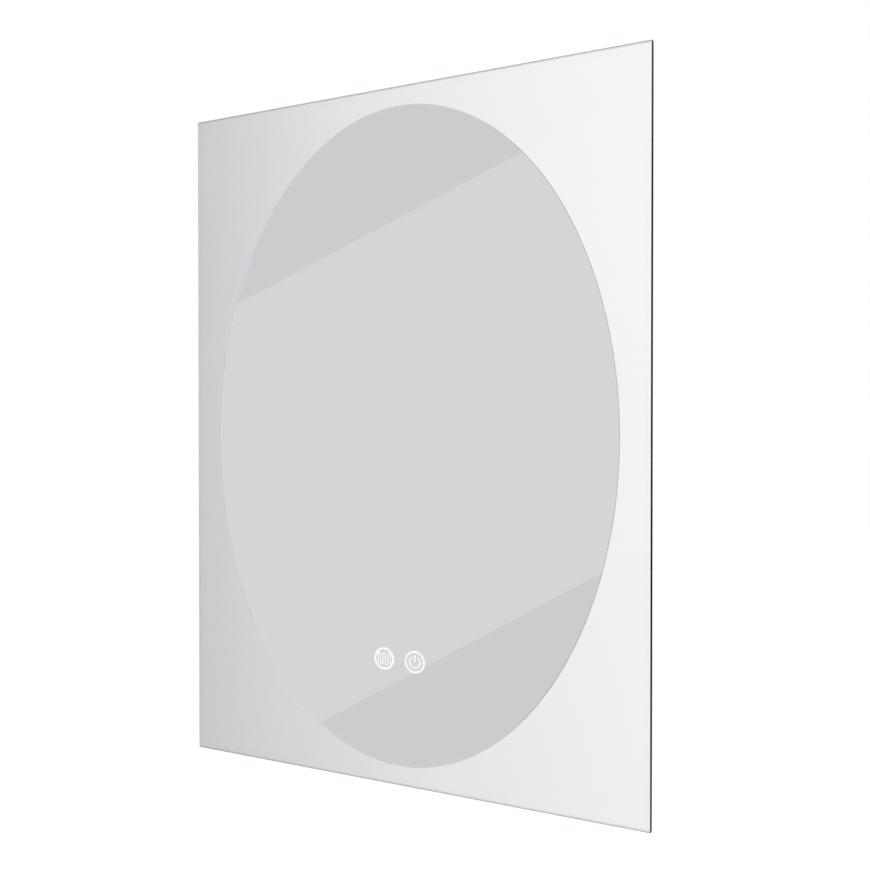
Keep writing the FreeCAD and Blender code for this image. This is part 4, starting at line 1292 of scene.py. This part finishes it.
@dataclass
class Driver(SubAssembly):
    """The light driver in its plastic case."""

    screw_x: Tuple[float, float] = (-0.1555, 0.0055)
    screw_z: float = -0.390
    screw_reach: float = 0.0040
    plastic: Colour = (0.80, 0.80, 0.78)
    mask: Colour = (0.02, 0.12, 0.05)
    connectors: Colour = (0.55, 0.55, 0.52)
    tape: Colour = (0.75, 0.48, 0.03)
    sleeve: Colour = (0.02, 0.02, 0.03)
    leads: Colour = (0.79, 0.79, 0.76)

    def build(self) -> None:
        """Models the two screws that hold the case to the panel."""
        seat = Extent.of("driver_screws").high.y - PanScrew().head_height
        PanScrew(reach=self.screw_reach).set_at(
            "driver_pan_screws", [Seat((across, seat, self.screw_z)) for across in self.screw_x],
            ZincPlated("zinc_driver").material(), "driver_screws")

    def dress(self) -> None:
        """Gives the nodes their finishes."""
        dress(Moulded("driver_plastic", self.plastic), "driver_case", "driver_lid", "wire_clips")
        dress(CircuitBoard("driver_board_mask", self.mask), "driver_board")
        dress(Moulded("connector_plastic", self.connectors, roughness=0.30), "driver_connectors")
        dress(Moulded("transformer_tape", self.tape, roughness=0.25), "driver_transformer")
        dress(Moulded("capacitor_sleeve", self.sleeve, roughness=0.20, depth=0.00001), "driver_capacitors")
        dress(Sheath("white_feed_sheath", self.leads), "feed_leads")


@dataclass
class TerminalBox(SubAssembly):
    """The sunk terminal tub with its cover, block, clamp, leads and earth."""

    corner: float = 0.004
    corner_steps: int = 6
    edge: float = 0.0005
    frame_inset: float = 0.0082
    groove: float = 0.0008
    groove_steps: int = 4
    near_middle: float = 0.005
    cord_hole: float = 0.0060
    screw_inset: float = 0.0045
    screw_hole: float = 0.0017
    hole_depth: float = 0.02
    screw_reach: float = 0.0078
    grommet: Rings = (
        (4.0, 0.0), (7.4, 0.0), (8.0, 0.3), (8.0, 1.2), (7.7, 1.5), (6.0, 1.5), (6.0, 3.5), (7.7, 3.5),
        (8.0, 3.8), (7.9, 4.5), (7.2, 5.0), (5.4, 5.0), (5.2, 4.7), (4.9, 4.7), (4.6, 5.0), (4.3, 5.0),
        (4.0, 4.7), (4.0, 0.0))
    earth: PanScrew = field(default_factory=lambda: PanScrew(
        head_radius=0.0038, head_height=0.0022, shank_radius=0.0020, reach=0.0062, recess_width=0.0010,
        recess_span=0.0042, recess_depth=0.0013))
    grey: Colour = (0.30, 0.31, 0.32)
    block: Colour = (0.80, 0.80, 0.76)
    brass: Colour = (0.72, 0.52, 0.20)
    brown: Colour = (0.16, 0.06, 0.02)
    green: Colour = (0.05, 0.30, 0.04)
    yellow: Colour = (0.80, 0.66, 0.03)

    def build(self) -> None:
        """Models the cover with its screws, the grommet and the earth screw."""
        cover = Extent.of("terminal_cover")
        cord = Extent.of("cable_grommet")
        low, high, inset = cover.low, cover.high, self.screw_inset
        places = [(across, up) for across in (low.x + inset, high.x - inset)
                  for up in (low.z + inset, high.z - inset)]
        bench = self.build_cover(cover)
        holes = [(cord.middle.x, cord.middle.z, self.cord_hole)]
        for across, up, radius in holes + [(*place, self.screw_hole) for place in places]:
            bench.cut_by(Workbench.started(
                "hole_cutter", bpy.ops.mesh.primitive_cylinder_add, vertices=ROUND, radius=radius,
                depth=self.hole_depth, location=(across, cover.middle.y, up), rotation=ACROSS))
        bench.smooth(CREASE)
        bench.flatten()
        lid = Moulded("lid_plastic", self.grey).material()
        place_on(Body.MIRROR, bench.piece, lid, Slot.GREY_PLASTIC, "terminal_cover")
        zinc = ZincPlated("zinc_lid").material()
        PanScrew(reach=self.screw_reach).set_at(
            "terminal_pan_screws", [Seat((across, high.y, up)) for across, up in places], zinc,
            "terminal_cover_screws")
        bench = Workbench.turned("grommet_rings", from_mm(self.grommet, cord.low.y),
                                 (cord.middle.x, cord.middle.z))
        bench.smooth(CREASE)
        place_on(Body.MIRROR, bench.piece, SoftRubber("grommet_rubber").material(), Slot.RUBBER,
                 "cable_grommet")
        screw = Extent.of("earth_screw")
        seat = Seat((screw.middle.x, screw.high.y - self.earth.head_height, screw.middle.z))
        self.earth.set_at("earth_pan_screw", [seat], zinc, "earth_screw")

    def build_cover(self, cover: Extent) -> Workbench:
        """Models the cover with rounded corners, a broken edge and a grooved frame line.

        Args:
            cover: The CAD cover's box.

        Returns:
            The bench with the cover.
        """
        middle, half, high = cover.middle, cover.half, cover.high
        bench = Workbench.block("terminal_lid", 2 * half, middle)
        bench.pick(Picked.EDGE, runs_deep)
        bpy.ops.mesh.bevel(offset=self.corner, segments=self.corner_steps)
        bench.pick(Picked.EDGE, lambda first, second: min(first.y, second.y) > high.y - TINY)
        bpy.ops.mesh.bevel(offset=self.edge, segments=EDGE_STEPS)
        bench.done_editing()
        inset = self.frame_inset
        cutter = Workbench.block("groove_cutter", (2 * (half.x - inset), self.groove, 2 * (half.z - inset)),
                                 (middle.x, high.y, middle.z))
        cutter.pick(Picked.EDGE, runs_deep)
        bpy.ops.mesh.bevel(offset=self.corner / 2, segments=self.groove_steps)
        cutter.pick(Picked.FACE, lambda place, normal: abs(normal.y) > SQUARE_ON)
        bpy.ops.mesh.inset(thickness=self.groove)
        cutter.pick(Picked.FACE, lambda place, normal: abs(normal.y) > SQUARE_ON
                    and (place - middle).length < self.near_middle)
        bpy.ops.mesh.bridge_edge_loops()
        bench.cut_by(cutter)
        return bench

    def dress(self) -> None:
        """Gives the nodes their finishes."""
        dress(Moulded("terminal_plastic", self.grey), "terminal_box", "cord_clamp")
        dress(Moulded("block_plastic", self.block), "terminal_block")
        dress(TurnedMetal("brass_inserts", self.brass), "terminal_inserts")
        dress(ZincPlated("zinc_terminal"), "terminal_screws", "cord_clamp_screws", "earth_nut", "earth_lug")
        dress(Sheath("brown_sheath", self.brown), "mains_leads")
        dress(Sheath("earth_sheath", self.green, stripe=self.yellow), "earth_lead")


@dataclass
class Hanging(SubAssembly):
    """The hanger on the mirror, the rail on the wall and the bumpers."""

    edge_break: float = 0.00035
    screw_z: float = 0.033
    long_x: Tuple[float, ...] = (-0.140, -0.050, 0.050, 0.140)
    long_reach: float = 0.0067
    short_x: Tuple[float, ...] = (-0.236, 0.236)
    short_reach: float = 0.0051
    bumper: Rings = (
        (10.0, 0.0), (10.0, 0.9), (9.7, 1.2), (9.3, 1.5), (9.6, 1.9), (9.5, 6.3), (9.2, 7.0), (8.6, 7.4),
        (7.8, 7.5), (5.2, 7.5), (4.6, 7.3), (4.3, 6.8), (4.2, 4.5), (0.0, 4.5))
    rivet: Rings = ((3.4, 4.5), (3.4, 4.9), (3.0, 5.4), (2.0, 5.75), (0.9, 5.88), (0.0, 5.9))

    def build(self) -> None:
        """Models the rails with broken edges, the screws and the bumpers with their rivets."""
        sheet = RolledSheet("rolled_rails").material()
        for node, body in (("hanger_rail", Body.MIRROR), ("wall_rail", Body.WALL_RAIL)):
            bench = Workbench.softened(node, self.edge_break, f"{node}_soft")
            place_on(body, bench.piece, sheet, Slot.SHEET_STEEL, node)
        zinc = ZincPlated("zinc_hanger").material()
        seat = Extent.of("hanger_screws").high.y - PanScrew().head_height
        for name, reach, places in (("hanger_long_screws", self.long_reach, self.long_x),
                                    ("hanger_short_screws", self.short_reach, self.short_x)):
            PanScrew(reach=reach).set_at(name, [Seat((across, seat, self.screw_z)) for across in places],
                                         zinc, "hanger_screws")
        feet = Extent.of("wall_bumpers")
        radius = self.bumper[0][0] / MM
        seats = [Seat((across, feet.low.y, feet.middle.z))
                 for across in (feet.low.x + radius, feet.high.x - radius)]
        for name, rings, finish, slot in (
                ("bumper_feet", self.bumper, SoftRubber("bumper_rubber").material(), Slot.RUBBER),
                ("bumper_rivets", self.rivet, zinc, Slot.ZINC)):
            bench = Workbench.turned(name, from_mm(rings))
            bench.smooth(ROUND_CREASE)
            place_on(Body.MIRROR, bench.repeated(seats), finish, slot, "wall_bumpers")

    def dress(self) -> None:
        """Gives the nodes their finishes."""
        dress(RolledSheet("rolled_bar"), "hanger_bar")


# ---- studio
@dataclass
class Lamp:
    """A soft rectangular lamp."""

    name: str
    place: Triple
    aim: Triple
    width: float
    height: float
    watts: float

    def build(self) -> None:
        """Hangs the lamp, kept out of reflections."""
        light = bpy.data.lights.new(self.name, "AREA")
        light.shape = "RECTANGLE"
        light.size, light.size_y = self.width, self.height
        light.energy = self.watts
        lamp = bpy.data.objects.new(self.name, light)
        bpy.context.scene.collection.objects.link(lamp)
        lamp.location = self.place
        toward = Vector(self.aim) - Vector(self.place)
        lamp.rotation_euler = toward.to_track_quat("-Z", "Y").to_euler()
        lamp.visible_camera = lamp.visible_glossy = lamp.visible_transmission = False


@dataclass
class Camera:
    """The photograph's camera, with its angles in degrees and its lens in millimetres."""

    place: Triple = (0.38038, -0.79506, -0.23042)
    pitch: float = 90.0 - 0.519
    heading: float = 24.081
    lens: float = 35.10
    sensor: float = 36.0
    clip: Tuple[float, float] = (0.01, 60.0)

    def build(self) -> None:
        """Sets up the camera and makes it the scene's."""
        data = bpy.data.cameras.new("camera")
        data.lens, data.sensor_width = self.lens, self.sensor
        data.clip_start, data.clip_end = self.clip
        camera = bpy.data.objects.new("camera", data)
        bpy.context.scene.collection.objects.link(camera)
        camera.location = self.place
        camera.rotation_euler = (math.radians(self.pitch), 0.0, math.radians(self.heading))
        bpy.context.scene.camera = camera


class Cleared(Enum):
    """Which part of a bowl is cut away, as the bisect operator's setting."""

    TOWARDS_WALL = "clear_outer"
    TOWARDS_ROOM = "clear_inner"


@dataclass
class Studio:
    """Floor, two bowls that only reflections see, lamps, world and camera."""

    middle: Triple = (0.0, -0.035, -0.24)
    floor_z: float = -1.6
    floor_side: float = 24.0
    floor_paint: Colour = (0.86, 0.86, 0.86)
    floor_lift: float = 0.705
    bowl_radius: float = 1.34
    bowl_mesh: Tuple[int, int] = (64, 32)
    front_rim_y: float = -0.06
    rear_rim_y: float = -0.055
    cap_tone: Colour = (0.719, 0.728, 0.753)
    band_tone: Colour = (0.809, 0.801, 0.820)
    upper_line: Line = (-0.1952, 0.1462, 0.1292, 0.2678)
    lower_line: Line = (-0.0915, -0.3000, 0.2045, -0.1228)
    rear_tones: Stops = (
        (0.0, (0.30, 0.30, 0.31)), (0.40, (0.42, 0.42, 0.43)), (0.52, (0.66, 0.66, 0.67)), (0.74, WHITE),
        (1.0, (0.80, 0.80, 0.81)))
    ambient: float = 0.357
    lamps: List[Lamp] = field(default_factory=lambda: [
        Lamp("front_right", (0.269, -0.213, -0.209), (0.189, -0.035, -0.24), 0.947, 2.0, 4.66),
        Lamp("rear_soft", (-1.3, 1.6, 0.9), (0.0, 0.0, -0.24), 1.4, 1.4, 18.0)])
    camera: Camera = field(default_factory=Camera)

    def build(self) -> None:
        """Sets up everything round the object."""
        self.build_world()
        self.build_floor()
        recipe = Recipe("grey_paper")
        caps = self.band_side(recipe, self.upper_line).either(1 - self.band_side(recipe, self.lower_line))
        self.build_bowl("grey_bowl", self.front_rim_y, Cleared.TOWARDS_WALL, recipe,
                        recipe.between(self.band_tone, self.cap_tone, caps))
        recipe = Recipe("graded_paper")
        height = (recipe.along("Z") - self.middle[2]) / (2 * self.bowl_radius) + 0.5
        self.build_bowl("graded_bowl", self.rear_rim_y, Cleared.TOWARDS_ROOM, recipe,
                        recipe.ramp(height, self.rear_tones))
        for fitting in (*self.lamps, self.camera):
            fitting.build()

    def build_world(self) -> None:
        """Makes a world that is white where it is seen, at a plain level where it lights."""
        recipe = Recipe("studio_air", is_world=True)
        plain, white = (recipe.node("ShaderNodeBackground", None, {"Color": WHITE, "Strength": strength})
                        for strength in (self.ambient, 1.0))
        bpy.context.scene.world = recipe.finished(recipe.blend(plain, white, recipe.ray(*SEEN)))

    def build_floor(self) -> None:
        """Lays a pale floor about a metre below the mirror."""
        floor = Workbench.started("floor", bpy.ops.mesh.primitive_plane_add, size=self.floor_side,
                                  location=(0.0, 0.0, self.floor_z)).piece
        recipe = Recipe("pale_floor")
        paint = recipe.node("ShaderNodeBsdfDiffuse", None, {"Color": self.floor_paint})
        lift = recipe.glow(WHITE, recipe.ray(*SEEN) * self.floor_lift)
        floor.data.materials.append(recipe.finished(recipe.node("ShaderNodeAddShader", None,
                                                                {0: paint, 1: lift})))

    def band_side(self, recipe: Recipe, line: Line) -> Signal:
        """1 above a straight edge in the mirror's reflection, otherwise 0.

        Args:
            recipe: The bowl's material.
            line: Two points of the edge on the glass, from its centre.

        Returns:
            The mask.
        """
        across, glass, up = self.middle
        place = self.camera.place
        eye = Vector((place[0], 2 * glass - place[1], place[2]))
        first, second = (Vector((across + x, glass, up + z)) - eye for x, z in (line[:2], line[2:]))
        normal = first.cross(second).normalized()
        if normal.z < 0:
            normal = -normal
        height = recipe.node("ShaderNodeVectorMath", {"operation": "DOT_PRODUCT"},
                             {0: recipe.place(), 1: tuple(normal)}, out="Value")
        return height.above(normal.dot(eye))

    def build_bowl(self, name: str, rim: float, cleared: Cleared, recipe: Recipe, tone: Signal) -> None:
        """Makes half a sphere of glowing paper that only reflections see.

        Args:
            name: Its name.
            rim: Y of its rim.
            cleared: Which part is cut away.
            recipe: Its material's recipe.
            tone: Its colour.
        """
        segments, rings = self.bowl_mesh
        bench = Workbench.started(name, bpy.ops.mesh.primitive_uv_sphere_add, segments=segments,
                                  ring_count=rings, radius=self.bowl_radius, location=self.middle)
        bench.pick_all()
        bpy.ops.mesh.bisect(plane_co=(0.0, rim, 0.0), plane_no=(0.0, 1.0, 0.0), **{cleared.value: True})
        bench.done_editing()
        bowl = bench.piece
        bowl.data.materials.append(recipe.finished(recipe.glow(tone)))
        bowl.visible_camera = bowl.visible_diffuse = bowl.visible_shadow = False


def main() -> None:
    """Builds and dresses the mirror and its studio."""
    logging.basicConfig(level=logging.INFO, format="%(name)s %(message)s")
    bpy.context.scene.view_settings.view_transform = "Standard"
    Studio().build()
    for part in (MirrorPane(), Chassis(), LightStrips(), Demister(), TouchControls(), Driver(),
                 TerminalBox(), Hanging()):
        part.build()
        part.dress()


if __name__ == "__main__":
    main()
